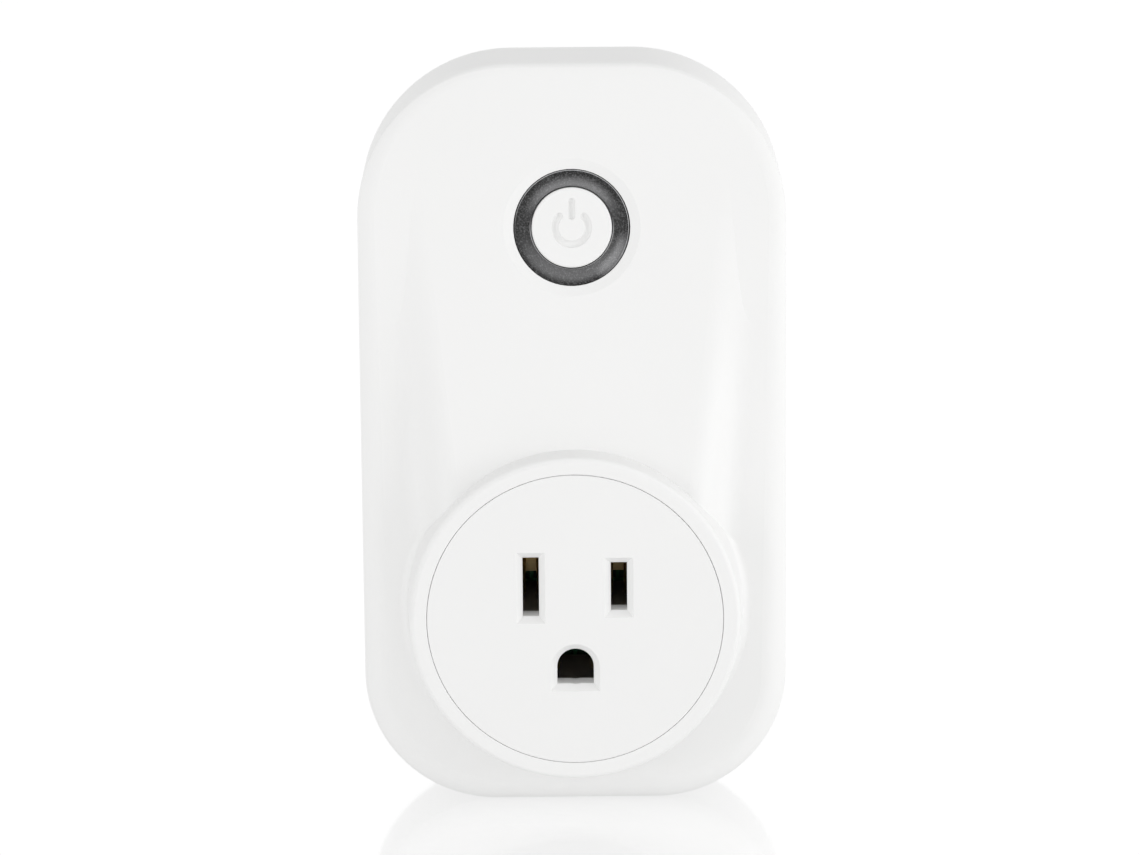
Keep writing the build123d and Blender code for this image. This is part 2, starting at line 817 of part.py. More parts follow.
with BuildPart() as rear_cover:
    extrude(body_outline(seam_depth, cover_inset), amount=-seam_depth, taper=cover_draft)
    fillet(rear_cover.faces().sort_by(Axis.Y)[-1].edges(), cover_edge_rounding)
    extrude(
        body_outline(seam_depth, cover_inset + wall),
        amount=-cover_wall_height,
        taper=cover_draft,
        mode=Mode.SUBTRACT,
    )
    add(cover_lip.part)
    post(case_screw_places, screw_pillar_radius, wall / 2, pillar_top_depth)
    post(standoff_places, standoff_radius, wall / 2, board_back_depth)
    with BuildSketch(Plane.XZ) as plug_holes:
        for side, height in ((-1, neutral_blade_height), (1, hot_blade_height)):
            with Locations((side * half_spacing, 0)):
                Rectangle(blade_thickness + 2 * fit_clearance, height + 2 * fit_clearance)
        with Locations((0, -ground_drop)):
            Circle(ground_collar_radius + fit_clearance)
    extrude(plug_holes.sketch, amount=wall, mode=Mode.SUBTRACT)
    with Locations(rear_plane):
        with Locations(*case_screw_places):
            CounterBoreHole(
                screw_radius + screw_hole_clearance,
                screw_head_radius + screw_hole_clearance,
                screw_recess_depth,
                depth=pillar_top_depth,
            )
    post(
        standoff_places,
        board_screw_radius,
        board_front_depth - board_screw_length,
        board_back_depth,
        mode=Mode.SUBTRACT,
    )
finish(rear_cover.part, "rear_cover")


def pan_head_screws(places, seat, direction, head_radius, head_height, shank_radius, length):
    """Screws seated under their heads, with shanks that run forward (direction 1) or back (-1)."""
    post(places, head_radius, seat - direction * head_height, seat)
    post(places, shank_radius, seat, seat + direction * length)


with BuildPart() as case_screws:
    pan_head_screws(
        case_screw_places,
        screw_recess_depth,
        1,
        screw_head_radius,
        screw_head_height,
        screw_radius,
        screw_length,
    )
finish(case_screws.part, "case_screws")

with BuildPart() as board_screws:
    pan_head_screws(
        standoff_places,
        board_front_depth,
        -1,
        board_screw_head_radius,
        board_screw_head_height,
        board_screw_radius,
        board_screw_length,
    )
finish(board_screws.part, "board_screws")

# ---- button group, about the button's axis on the ramp face -----------------------------------------
led_places = [(led_ring_radius * cos(radians(a)), led_ring_radius * sin(radians(a))) for a in led_angles]
light_guide_end = button_board_front + led_height + light_guide_gap
switch_front = button_board_front + switch_body_height
switch_body_front = switch_front - switch_cover_thickness


def on_face(centre, size, front, back, mode=Mode.ADD):
    """Rectangular block between two heights on the ramp face, in the part that is open."""
    with BuildSketch(face_plane.offset(back)) as profile:
        with Locations(centre):
            Rectangle(*size)
    extrude(profile.sketch, amount=front - back, mode=mode)


with BuildPart() as light_ring:
    ring_on_face(ring_radius, 0, ring_face, ring_back)
    ring_on_face(ring_flange_radius, 0, -wall, ring_back)
    ring_on_face(ring_radius, 0, ring_back, light_guide_end)
    ring_on_face(light_guide_radius, 0, ring_back, light_guide_end, mode=Mode.SUBTRACT)
    ring_on_face(ring_inner_radius, 0, ring_face, ring_back, mode=Mode.SUBTRACT)
    rim = light_ring.edges().filter_by(GeomType.CIRCLE).sort_by(button_axis)
    fillet(rim[-2:], ring_edge_rounding)
finish(light_ring.part, "light_ring")

with BuildPart() as button_cap:
    ring_on_face(cap_radius, 0, cap_face, cap_back)
    ring_on_face(cap_flange_radius, 0, cap_flange_front, cap_back)
    ring_on_face(cap_radius - cap_wall, 0, cap_face - cap_wall, cap_back, mode=Mode.SUBTRACT)
    ring_on_face(cap_stem_radius, 0, cap_face - cap_wall / 2, stem_end)
    rim = button_cap.edges().filter_by(GeomType.CIRCLE).sort_by(button_axis)
    fillet(rim[-1:], cap_edge_rounding)
finish(button_cap.part, "button_cap")

with BuildPart() as button_board:
    board_size = (button_board_width, 2 * button_board_half_height)
    on_face((0, 0), board_size, button_board_front, button_board_back)
    fillet(button_board.edges().filter_by(button_axis), board_corner_radius)
    with BuildSketch(face_plane.offset(button_board_back)) as screw_holes:
        with Locations((0, button_screw_offset), (0, -button_screw_offset)):
            Circle(board_screw_radius + fit_clearance)
    extrude(screw_holes.sketch, amount=button_board_thickness, mode=Mode.SUBTRACT)
    post(link_places, link_hole_radius, board_front_depth, socket_depth, mode=Mode.SUBTRACT)
finish(button_board.part, "button_board")

with BuildPart() as button_board_screws:
    for sign in (-1, 1):
        screw_plane = face_plane.offset(button_board_back)
        with BuildSketch(screw_plane) as heads:
            with Locations((0, sign * button_screw_offset)):
                Circle(board_screw_head_radius)
        extrude(heads.sketch, amount=-board_screw_head_height)
        with BuildSketch(screw_plane) as shanks:
            with Locations((0, sign * button_screw_offset)):
                Circle(board_screw_radius)
        extrude(shanks.sketch, amount=board_screw_length)
finish(button_board_screws.part, "button_board_screws")

with BuildPart() as status_leds:
    for x, y in led_places:
        on_face((x, y), (led_length, led_width), button_board_front + led_height, button_board_front)
finish(status_leds.part, "status_leds")

with BuildPart() as switch_body:
    on_face((0, 0), (switch_size, switch_size), switch_body_front, button_board_front)
    well_floor = switch_body_front - plunger_collar_height - dome_height - button_travel
    ring_on_face(dome_well_radius, 0, switch_body_front, well_floor, mode=Mode.SUBTRACT)
finish(switch_body.part, "switch_body")

with BuildPart() as switch_cover:
    on_face((0, 0), (switch_size, switch_size), switch_front, switch_body_front)
    ring_on_face(plunger_radius + pin_clearance, 0, switch_front, switch_body_front, mode=Mode.SUBTRACT)
finish(switch_cover.part, "switch_cover")

plunger_collar_front = switch_body_front - pin_clearance
plunger_back = plunger_collar_front - plunger_collar_height
with BuildPart() as switch_plunger:
    ring_on_face(plunger_radius, 0, plunger_end, plunger_collar_front)
    ring_on_face(plunger_collar_radius, 0, plunger_collar_front, plunger_back)
finish(switch_plunger.part, "switch_plunger")

dome_rise = plunger_back - pin_clearance - dome_thickness - well_floor
dome_sphere = (dome_radius**2 + dome_rise**2) / (2 * dome_rise)
dome_centre = well_floor + dome_rise - dome_sphere
dome_growth = (dome_sphere + dome_thickness) / dome_sphere
with BuildPart() as switch_dome:
    with BuildSketch(Plane(origin=face_plane.origin, x_dir=(1, 0, 0), z_dir=-face_plane.y_dir)):
        with BuildLine():
            crown_inner = (0, well_floor + dome_rise)
            rim_inner = (dome_radius, well_floor)
            rim_outer = (
                dome_radius * dome_growth,
                dome_centre + (well_floor - dome_centre) * dome_growth,
            )
            crown = (0, well_floor + dome_rise + dome_thickness)
            RadiusArc(crown_inner, rim_inner, dome_sphere)
            Line(rim_inner, rim_outer)
            RadiusArc(rim_outer, crown, -(dome_sphere + dome_thickness))
            Line(crown, crown_inner)
        make_face()
    revolve(axis=button_axis)
finish(switch_dome.part, "switch_dome")

with BuildPart() as switch_legs:
    leg_x = switch_size / 2 + switch_leg_thickness / 2
    leg_z = switch_size / 2 - switch_leg_width
    for x in (-leg_x, leg_x):
        for z in (-leg_z, leg_z):
            on_face(
                (x, z),
                (switch_leg_thickness, switch_leg_width),
                button_board_front + switch_body_height / 2,
                button_board_front,
            )
finish(switch_legs.part, "switch_legs")

# ---- main board ------------------------------------------------------------------------------------
cover_inset_at_board = cover_inset + wall + (seam_depth - board_back_depth) * tan(radians(cover_draft))
film_cap_leads = [(film_cap_place[0], film_cap_place[1] + s * film_cap_pitch / 2) for s in (-1, 1)]
varistor_leads = [(varistor_place[0], varistor_place[1] + s * varistor_pitch / 2) for s in (-1, 1)]
fuse_leads = [(fuse_place[0], fuse_place[1] + s * (fuse_length / 2 + fuse_lead_run)) for s in (-1, 1)]
component_leads = film_cap_leads + varistor_leads + fuse_leads

with BuildPart() as main_board:
    extrude(body_outline(board_back_depth, cover_inset_at_board + board_gap), amount=board_thickness)
    notch_radius = screw_pillar_radius + screw_pillar_gap
    for x, z in case_screw_places:
        side = 1 if x > 0 else -1
        post([(x, z)], notch_radius, board_back_depth, board_front_depth, mode=Mode.SUBTRACT)
        block(
            (x + side * body_width / 4, z),
            (body_width / 2, 2 * notch_radius),
            board_back_depth,
            board_front_depth,
            mode=Mode.SUBTRACT,
        )
    drill = dict(low=board_back_depth, high=board_front_depth, mode=Mode.SUBTRACT)
    post(standoff_places, board_screw_radius + fit_clearance, **drill)
    post([(0, -ground_drop)], ground_tail_radius + fit_clearance, **drill)
    post(component_leads, lead_radius + pin_clearance, **drill)
    post(relay_pin_places, relay_pin_radius + relay_pin_clearance, **drill)
    for side in (-1, 1):
        tail_slot = (blade_thickness + 2 * fit_clearance, blade_tail_height + 2 * fit_clearance)
        block((side * half_spacing, 0), tail_slot, **drill)
        tab_slot = (contact_strip + 2 * fit_clearance, contact_tab_width + 2 * fit_clearance)
        block((side * (half_spacing + contact_half_spread), 0), tab_slot, **drill)
    for place in link_places:
        block(place, (link_pin_size + 2 * pin_clearance, link_pin_size + 2 * pin_clearance), **drill)
finish(main_board.part, "main_board")

with BuildPart() as link_pins:
    for place in link_places:
        pin_top = ramp_depth(place[1], -button_board_front) + link_pin_proud
        block(place, (link_pin_size, link_pin_size), board_back_depth - link_pin_proud, pin_top)
finish(link_pins.part, "link_pins")

with BuildPart() as link_spacer:
    strip_size = (link_pin_pitch, link_pin_count * link_pin_pitch)
    strip_centre = (link_x, button_height)
    block(strip_centre, strip_size, board_front_depth, board_front_depth + link_spacer_height)
    for place in link_places:
        hole = (link_pin_size + 2 * pin_clearance, link_pin_size + 2 * pin_clearance)
        block(place, hole, board_front_depth, board_front_depth + link_spacer_height, mode=Mode.SUBTRACT)
finish(link_spacer.part, "link_spacer")

# ---- relay -----------------------------------------------------------------------------------------
relay_floor = board_front_depth
base_top = relay_floor + relay_base_thickness
relay_case_front = relay_floor + relay_height

with BuildPart() as relay_base:
    block(
        (relay_x, relay_z),
        (
            relay_width - 2 * relay_wall - 2 * relay_pin_clearance,
            relay_length - 2 * relay_wall - 2 * relay_pin_clearance,
        ),
        relay_floor,
        base_top,
    )
    post(
        relay_pin_places,
        relay_pin_radius + relay_pin_clearance,
        relay_floor,
        base_top,
        mode=Mode.SUBTRACT,
    )
finish(relay_base.part, "relay_base")

with BuildPart() as relay_case:
    block((relay_x, relay_z), (relay_width, relay_length), relay_floor, relay_case_front)
    fillet(relay_case.edges().filter_by(Axis.Y), relay_wall)
    block(
        (relay_x, relay_z),
        (relay_width - 2 * relay_wall, relay_length - 2 * relay_wall),
        relay_floor,
        relay_case_front - relay_wall,
        mode=Mode.SUBTRACT,
    )
finish(relay_case.part, "relay_case")

yoke_front = base_top + yoke_height
core_z = hinge_z + core_offset
core_foot = base_top + yoke_thickness
pole_front = yoke_front - armature_gap
coil_front = pole_front - pole_thickness

with BuildPart() as relay_yoke:
    block(
        (relay_x, hinge_z - yoke_thickness / 2),
        (yoke_width, yoke_thickness),
        base_top,
        yoke_front,
    )
    foot_length = core_offset + core_radius
    block(
        (relay_x, hinge_z + foot_length / 2),
        (yoke_width, foot_length),
        base_top,
        core_foot,
    )
finish(relay_yoke.part, "relay_yoke")

with BuildPart() as relay_core:
    post([(relay_x, core_z)], core_radius, core_foot, coil_front)
    post([(relay_x, core_z)], pole_radius, coil_front, pole_front)
finish(relay_core.part, "relay_core")

bobbin_bore = core_radius + relay_pin_clearance
bobbin_barrel = bobbin_bore + bobbin_tube
bobbin_width = 2 * (coil_radius + relay_pin_clearance)
with BuildPart() as relay_bobbin:
    block((relay_x, core_z), (bobbin_width, bobbin_width), core_foot, core_foot + bobbin_flange)
    block((relay_x, core_z), (bobbin_width, bobbin_width), coil_front - bobbin_flange, coil_front)
    post([(relay_x, core_z)], bobbin_barrel, core_foot, coil_front)
    post([(relay_x, core_z)], bobbin_bore, core_foot, coil_front, mode=Mode.SUBTRACT)
finish(relay_bobbin.part, "relay_bobbin")

with BuildPart() as relay_coil:
    winding = dict(low=core_foot + bobbin_flange, high=coil_front - bobbin_flange)
    post([(relay_x, core_z)], coil_radius, **winding)
    post([(relay_x, core_z)], bobbin_barrel, mode=Mode.SUBTRACT, **winding)
finish(relay_coil.part, "relay_coil")

armature_front = yoke_front + armature_thickness
contact_z = hinge_z + contact_reach
with BuildPart() as relay_armature:
    armature_length = yoke_thickness + core_offset + pole_radius
    block(
        (relay_x, hinge_z - yoke_thickness + armature_length / 2),
        (yoke_width, armature_length),
        yoke_front,
        armature_front,
    )
finish(relay_armature.part, "relay_armature")

with BuildPart() as relay_leaf:
    leaf_start = hinge_z + leaf_setback
    leaf_end = contact_z + contact_radius
    block(
        (relay_x, (leaf_start + leaf_end) / 2),
        (leaf_width, leaf_end - leaf_start),
        armature_front,
        armature_front + leaf_thickness,
    )
finish(relay_leaf.part, "relay_leaf")

with BuildPart() as moving_contact:
    post([(relay_x, contact_z)], contact_radius, armature_front - contact_button_height, armature_front)
finish(moving_contact.part, "moving_contact")

fixed_contact_front = armature_front - contact_button_height - contact_open_gap
shelf_front = fixed_contact_front - fixed_button_height
with BuildPart() as fixed_contact:
    post([(relay_x, contact_z)], contact_radius, shelf_front, fixed_contact_front)
    shelf_start = contact_z - contact_radius
    block(
        (relay_x, (shelf_start + strip_z) / 2),
        (leaf_width, strip_z - shelf_start + fixed_strip_thickness),
        shelf_front - fixed_strip_thickness,
        shelf_front,
    )
    block(
        (relay_x, strip_z),
        (leaf_width, fixed_strip_thickness),
        base_top,
        shelf_front,
    )
finish(fixed_contact.part, "fixed_contact")

with BuildPart() as relay_terminals:
    post(relay_pin_places, relay_pin_radius, board_back_depth - lead_length, base_top)
finish(relay_terminals.part, "relay_terminals")

# ---- power supply and control parts -------------------------------------------------------------------
with BuildPart() as film_capacitor:
    block(film_cap_place, film_cap_size, board_front_depth, board_front_depth + film_cap_height)
    fillet(film_capacitor.edges().filter_by(Axis.Y), film_cap_rounding)
    post(film_cap_leads, lead_radius, board_back_depth - lead_length, board_front_depth)
finish(film_capacitor.part, "film_capacitor")

varistor_centre = board_front_depth + lead_stand_off + varistor_radius
with BuildPart() as varistor:
    with BuildSketch(Plane.YZ.offset(varistor_place[0] - varistor_thickness / 2)):
        with Locations((-varistor_centre, varistor_place[1])):
            Circle(varistor_radius)
    extrude(amount=varistor_thickness)
    fillet(varistor.edges(), varistor_rounding)
    post(varistor_leads, lead_radius, board_back_depth - lead_length, varistor_centre)
finish(varistor.part, "varistor")

with BuildPart() as fuse:
    fuse_depth = board_front_depth + fuse_lift + fuse_radius
    with BuildSketch(Plane.XY.offset(fuse_place[1] - fuse_length / 2)):
        with Locations((fuse_place[0], -fuse_depth)):
            Circle(fuse_radius)
    extrude(amount=fuse_length)
    with BuildSketch(Plane.XY.offset(fuse_place[1] - fuse_length / 2 + fuse_cap_length)):
        with Locations((fuse_place[0], -fuse_depth)):
            Circle(fuse_radius)
            Circle(fuse_radius - fuse_cap_wall, mode=Mode.SUBTRACT)
    extrude(amount=fuse_length - 2 * fuse_cap_length, mode=Mode.SUBTRACT)
    post(fuse_leads, lead_radius, board_back_depth - lead_length, fuse_depth)
    with BuildSketch(Plane.XY.offset(fuse_leads[0][1])):
        with Locations((fuse_place[0], -fuse_depth)):
            Circle(lead_radius)
    extrude(amount=fuse_length + 2 * fuse_lead_run)
finish(fuse.part, "fuse")


def can_capacitor(plane, radius, length):
    """Electrolytic can on its rubber bung, with the crimped groove near its foot."""
    groove = length * can_groove_share
    with BuildSketch(plane) as profile:
        with BuildLine():
            Polyline(
                (0, 0),
                (radius - can_groove, 0),
                (radius, can_groove),
                (radius, groove - can_groove),
                (radius - can_groove, groove),
                (radius, groove + can_groove),
                (radius, length - can_groove),
                (radius - can_groove, length),
                (0, length),
                close=True,
            )
        make_face()
    revolve(profile.sketch, axis=Axis(plane.origin, plane.y_dir))


bulk_depth = board_front_depth + lead_stand_off / 2 + bulk_cap_radius
with BuildPart() as bulk_capacitors:
    for step in range(2):
        foot = (
            bulk_cap_low_place[0] - bulk_cap_length / 2,
            -bulk_depth,
            bulk_cap_low_place[1] + step * bulk_cap_step,
        )
        lying = Plane(origin=foot, x_dir=(0, 0, 1), z_dir=(0, 1, 0))
        can_capacitor(lying, bulk_cap_radius, bulk_cap_length)
finish(bulk_capacitors.part, "bulk_capacitors")

with BuildPart() as output_capacitor:
    foot = (output_cap_place[0], -board_front_depth, output_cap_place[1])
    upright = Plane(origin=foot, x_dir=(1, 0, 0), z_dir=(0, 0, -1))
    can_capacitor(upright, output_cap_radius, output_cap_height)
finish(output_capacitor.part, "output_capacitor")

transformer_x, transformer_z = transformer_place
transformer_front = board_front_depth + transformer_height
window_low = board_front_depth + transformer_leg
window_high = transformer_front - transformer_leg
with BuildPart() as transformer_core:
    core_size = (transformer_width, transformer_core_thickness)
    block(transformer_place, core_size, board_front_depth, transformer_front)
    window_width = (transformer_width - 2 * transformer_leg - transformer_centre_leg) / 2
    window_x = (transformer_centre_leg + window_width) / 2
    for x in (transformer_x - window_x, transformer_x + window_x):
        window = (window_width, 2 * transformer_core_thickness)
        block((x, transformer_z), window, window_low, window_high, mode=Mode.SUBTRACT)
finish(transformer_core.part, "transformer_core")

with BuildPart() as transformer_bobbin:
    inside = transformer_width - 2 * transformer_leg - 2 * pin_clearance
    for low in (window_low + pin_clearance, window_high - bobbin_flange - pin_clearance):
        block(transformer_place, (inside, bobbin_size), low, low + bobbin_flange)
    barrel = (transformer_centre_leg + 2 * bobbin_tube, transformer_core_thickness + 2 * bobbin_tube)
    block(transformer_place, barrel, window_low + pin_clearance, window_high - pin_clearance)
    hole = (transformer_centre_leg + 2 * pin_clearance, transformer_core_thickness + 2 * pin_clearance)
    block(transformer_place, hole, window_low, window_high, mode=Mode.SUBTRACT)
finish(transformer_bobbin.part, "transformer_bobbin")

with BuildPart() as transformer_winding:
    low = window_low + pin_clearance + bobbin_flange
    high = window_high - pin_clearance - bobbin_flange
    block(transformer_place, (inside - 2 * winding_gap, bobbin_size - 2 * winding_gap), low, high)
    fillet(transformer_winding.edges().filter_by(Axis.Y), winding_rounding)
    block(transformer_place, barrel, low, high, mode=Mode.SUBTRACT)
finish(transformer_winding.part, "transformer_winding")


def legged_chip(place, size, height, leg_count):
    """Moulded chip body on two rows of short legs that stand on the main board."""
    low = board_front_depth + chip_leg_thickness
    block(place, size, low, board_front_depth + height)
    for side in (-1, 1):
        for index in range(leg_count):
            z = place[1] + (index - (leg_count - 1) / 2) * chip_pitch
            x = place[0] + side * (size[0] + chip_leg_reach) / 2
            leg = (chip_leg_reach, chip_leg_width)
            block((x, z), leg, board_front_depth, board_front_depth + chip_leg_thickness)
            stem = (chip_leg_thickness, chip_leg_width)
            stem_x = place[0] + side * (size[0] + chip_leg_thickness) / 2
            block((stem_x, z), stem, board_front_depth, board_front_depth + height / 2)


with BuildPart() as switching_chip:
    legged_chip(chip_place, chip_size, chip_height, 4)
finish(switching_chip.part, "switching_chip")

with BuildPart() as bridge_rectifier:
    legged_chip(rectifier_place, rectifier_size, rectifier_height, 2)
finish(bridge_rectifier.part, "bridge_rectifier")

with BuildPart() as regulator:
    legged_chip(regulator_place, regulator_size, regulator_height, 3)
finish(regulator.part, "regulator")

with BuildPart() as choke:
    post([choke_place], choke_radius, board_front_depth, board_front_depth + choke_flange)
    post([choke_place], choke_radius - choke_flange, board_front_depth, board_front_depth + choke_height)
    choke_top = board_front_depth + choke_height
    post([choke_place], choke_radius, choke_top - choke_flange, choke_top)
finish(choke.part, "choke")

with BuildPart() as wifi_board:
    block(wifi_place, wifi_board_size, board_front_depth, board_front_depth + wifi_board_thickness)
finish(wifi_board.part, "wifi_board")

wifi_shield_back = board_front_depth + wifi_board_thickness
wifi_shield_drop = (wifi_board_size[1] - wifi_shield_size[1]) / 2 - wifi_shield_edge
wifi_shield_place = (wifi_place[0], wifi_place[1] - wifi_shield_drop)
with BuildPart() as wifi_shield:
    block(wifi_shield_place, wifi_shield_size, wifi_shield_back, wifi_shield_back + wifi_shield_height)
    fillet(wifi_shield.edges().filter_by(Axis.Y), wifi_shield_edge)
    hollow = [size - 2 * wifi_shield_wall for size in wifi_shield_size]
    block(
        wifi_shield_place,
        hollow,
        wifi_shield_back,
        wifi_shield_back + wifi_shield_height - wifi_shield_wall,
        mode=Mode.SUBTRACT,
    )
finish(wifi_shield.part, "wifi_shield")
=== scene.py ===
# %% [markdown]
# # A smart plug, dressed for its portrait
#
# The construction of this plug is already done: every shell, blade, contact and relay part comes in as a
# packed model at its real size. What is left is how it looks: white moulded plastic that is almost, but
# never quite, the white of the page behind it, a smoked light guide round the button, and bright plated
# blades behind. This lesson loads the packed model, gives each part its finish, models the few pieces whose
# small forms the construction leaves plain, and ends with a white studio table, its lamps and the camera.

# %% Load the packed model as a fixed frame
import json
from math import atan, cos, pi, radians, sin

import bpy
from mathutils import Matrix, Vector


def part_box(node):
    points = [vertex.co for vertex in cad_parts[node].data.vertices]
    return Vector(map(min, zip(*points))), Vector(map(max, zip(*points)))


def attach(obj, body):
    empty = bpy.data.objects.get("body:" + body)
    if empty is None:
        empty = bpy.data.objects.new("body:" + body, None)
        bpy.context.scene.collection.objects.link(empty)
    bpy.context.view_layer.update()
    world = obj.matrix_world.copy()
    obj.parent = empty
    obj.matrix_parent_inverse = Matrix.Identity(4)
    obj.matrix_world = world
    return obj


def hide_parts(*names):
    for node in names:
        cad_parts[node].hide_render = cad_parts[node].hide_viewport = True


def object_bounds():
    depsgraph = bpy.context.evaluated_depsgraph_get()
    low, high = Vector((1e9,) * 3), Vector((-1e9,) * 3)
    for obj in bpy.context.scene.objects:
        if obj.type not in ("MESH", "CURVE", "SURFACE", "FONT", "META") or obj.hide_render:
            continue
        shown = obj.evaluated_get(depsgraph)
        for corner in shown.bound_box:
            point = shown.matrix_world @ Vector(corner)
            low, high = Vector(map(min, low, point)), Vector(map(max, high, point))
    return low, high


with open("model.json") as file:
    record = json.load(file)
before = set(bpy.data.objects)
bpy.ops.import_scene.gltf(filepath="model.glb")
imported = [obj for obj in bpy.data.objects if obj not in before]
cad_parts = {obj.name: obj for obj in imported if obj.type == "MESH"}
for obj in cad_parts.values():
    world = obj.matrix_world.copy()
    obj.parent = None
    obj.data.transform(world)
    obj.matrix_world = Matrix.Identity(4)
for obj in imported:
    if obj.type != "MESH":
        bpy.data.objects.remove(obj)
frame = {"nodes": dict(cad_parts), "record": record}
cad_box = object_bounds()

MM = 0.001  # Blender works in metres here, and the sizes of this product are easier to read in millimetres

# %% [markdown]
# ## Shader maths that reads like sums
#
# A procedural finish is mostly arithmetic on a few patterns. Placing a Math node for each plus sign is
# slow to write and slower to read, so one small class wraps an output socket and lets Python's operators
# add the nodes. Everything that isn't arithmetic comes from its one `node` method.

# %% Wire: an output socket that can be calculated with
class Wire:
    """An output socket of a material's node tree."""

    def __init__(self, tree, socket):
        self.tree = tree
        self.socket = socket

    def node(self, kind, inputs, settings=None, output=0):
        """Add a node of any kind: settings first, then the values or wires of its inputs."""
        made = self.tree.nodes.new(kind)
        for name, value in (settings or {}).items():
            setattr(made, name, value)
        for name, value in inputs.items():
            if isinstance(value, Wire):
                self.tree.links.new(value.socket, made.inputs[name])
            else:
                made.inputs[name].default_value = value
        return Wire(self.tree, made.outputs[output])

    def math(self, operation, *values):
        """One sum of a Math node: its operation, then the values or wires it takes."""
        return self.node("ShaderNodeMath", dict(enumerate(values)), {"operation": operation})

    def __add__(self, other):
        return self.math("ADD", self, other)

    def __radd__(self, other):
        return self.math("ADD", other, self)

    def __sub__(self, other):
        return self.math("SUBTRACT", self, other)

    def __rsub__(self, other):
        return self.math("SUBTRACT", other, self)

    def __mul__(self, other):
        return self.math("MULTIPLY", self, other)

    def __rmul__(self, other):
        return self.math("MULTIPLY", other, self)

    def __truediv__(self, other):
        return self.math("DIVIDE", self, other)

    def between(self, low, high):
        """0 at low and below, 1 at high and above, with a soft step from one to the other."""
        inputs = {"Value": self, "From Min": low, "From Max": high}
        return self.node("ShaderNodeMapRange", inputs, {"interpolation_type": "SMOOTHSTEP"})

    def mix(self, colour_a, colour_b):
        """Colour a where this wire is 0, colour b where it is 1."""
        return self.node("ShaderNodeMix", {0: self, 6: colour_a, 7: colour_b}, {"data_type": "RGBA"}, 2)


print("a wire can:", ", ".join(name for name in vars(Wire) if callable(getattr(Wire, name))))

# %% [markdown]
# ## A place to put patterns
#
# Patterns are laid out on Object coordinates, which on these parts are the real position on the product.
# Scaled to millimetres, a noise of scale 4 has grains of a quarter of a millimetre, wherever it is used.

# %% Finishes: a Principled shader with its pattern coordinates
def tint(red, green, blue):
    return (red, green, blue, 1.0)


class Finish:
    """A material with its Principled shader, and the place on the part in millimetres."""

    def __init__(self, name, **constants):
        self.material = bpy.data.materials.new(name)
        self.material.use_nodes = True
        self.tree = self.material.node_tree
        self.shader = self.tree.nodes["Principled BSDF"]
        for socket, value in constants.items():
            self.shader.inputs[socket.replace("_", " ")].default_value = value
        start = Wire(self.tree, None)
        metres = start.node("ShaderNodeTexCoord", {}, output="Object")
        settings = {"operation": "SCALE"}
        self.place = metres.node("ShaderNodeVectorMath", {0: metres, "Scale": 1 / MM}, settings)

    def feed(self, socket, wire):
        self.tree.links.new(wire.socket, self.shader.inputs[socket])

    def noise(self, grains_per_mm, detail=2.0, stretch=None, roughness=0.5):
        """Soft noise from 0 to 1. stretch divides the pattern's coordinates along X, Y and Z."""
        place = self.place
        if stretch:
            inputs = {0: place, 1: tuple(1 / share for share in stretch)}
            place = place.node("ShaderNodeVectorMath", inputs, {"operation": "MULTIPLY"})
        inputs = {"Vector": place, "Scale": grains_per_mm, "Detail": detail, "Roughness": roughness}
        return place.node("ShaderNodeTexNoise", inputs)

    def relief(self, height, depth_mm, strength=1.0):
        """Raise the surface by height, from 0 to 1, times the depth."""
        inputs = {"Height": height, "Distance": depth_mm * MM, "Strength": strength}
        self.feed("Normal", height.node("ShaderNodeBump", inputs))

    def flecks(self, per_mm, size):
        """1 on a few small scattered dots, 0 elsewhere."""
        inputs = {"Vector": self.place, "Scale": per_mm}
        near = self.place.node("ShaderNodeTexVoronoi", inputs)
        thinned = self.noise(0.11, 1.0).between(0.56, 0.6)
        return (1 - near.between(size * 0.6, size)) * thinned

    def wave(self, along, pitch_mm):
        """Wave from 0 to 1 along a wire of millimetres."""
        return 0.5 + 0.5 * along.math("SINE", along * (2 * pi / pitch_mm))

    def axis(self, name):
        """One coordinate of the place, in millimetres."""
        return self.place.node("ShaderNodeSeparateXYZ", {0: self.place}, output=name)


print("pattern scale:", 1 / MM, "per metre")

# %% [markdown]
# ## Moulded plastics
#
# Spark-textured plastic is satin to the eye: a grain of about a fifth of a millimetre breaks up every
# highlight. The white of the shell is a warm light grey of about 86 per cent, so that the page behind can
# still be whiter. A very faint cloudiness keeps large faces from looking computed. The outer white stays
# clean, and only the relay case and the film capacitor carry a few flecks of dust from the works.

# %% Moulded plastic
DUST = 0.03


def moulded(name, colour, gloss, grain_per_mm, grain_depth_mm, cloud=0.01, fleck=0.0):
    """Plastic with cloudy tone, a fine grain and, where asked, a few dark flecks of dust."""
    finish = Finish(name, Roughness=gloss, IOR=1.46)
    soft = finish.noise(0.05, 3.0)
    grain = finish.noise(grain_per_mm, 3.0)
    tone = soft.between(0.3, 0.7).mix(tint(*(part * (1 - cloud) for part in colour)), tint(*colour))
    if fleck:
        tone = finish.flecks(0.16, fleck).mix(tone, tint(*(part * 0.45 for part in colour)))
    finish.feed("Base Color", tone)
    finish.feed("Roughness", gloss - 0.05 + 0.1 * grain)
    finish.relief(grain, grain_depth_mm, 0.6)
    return finish.material


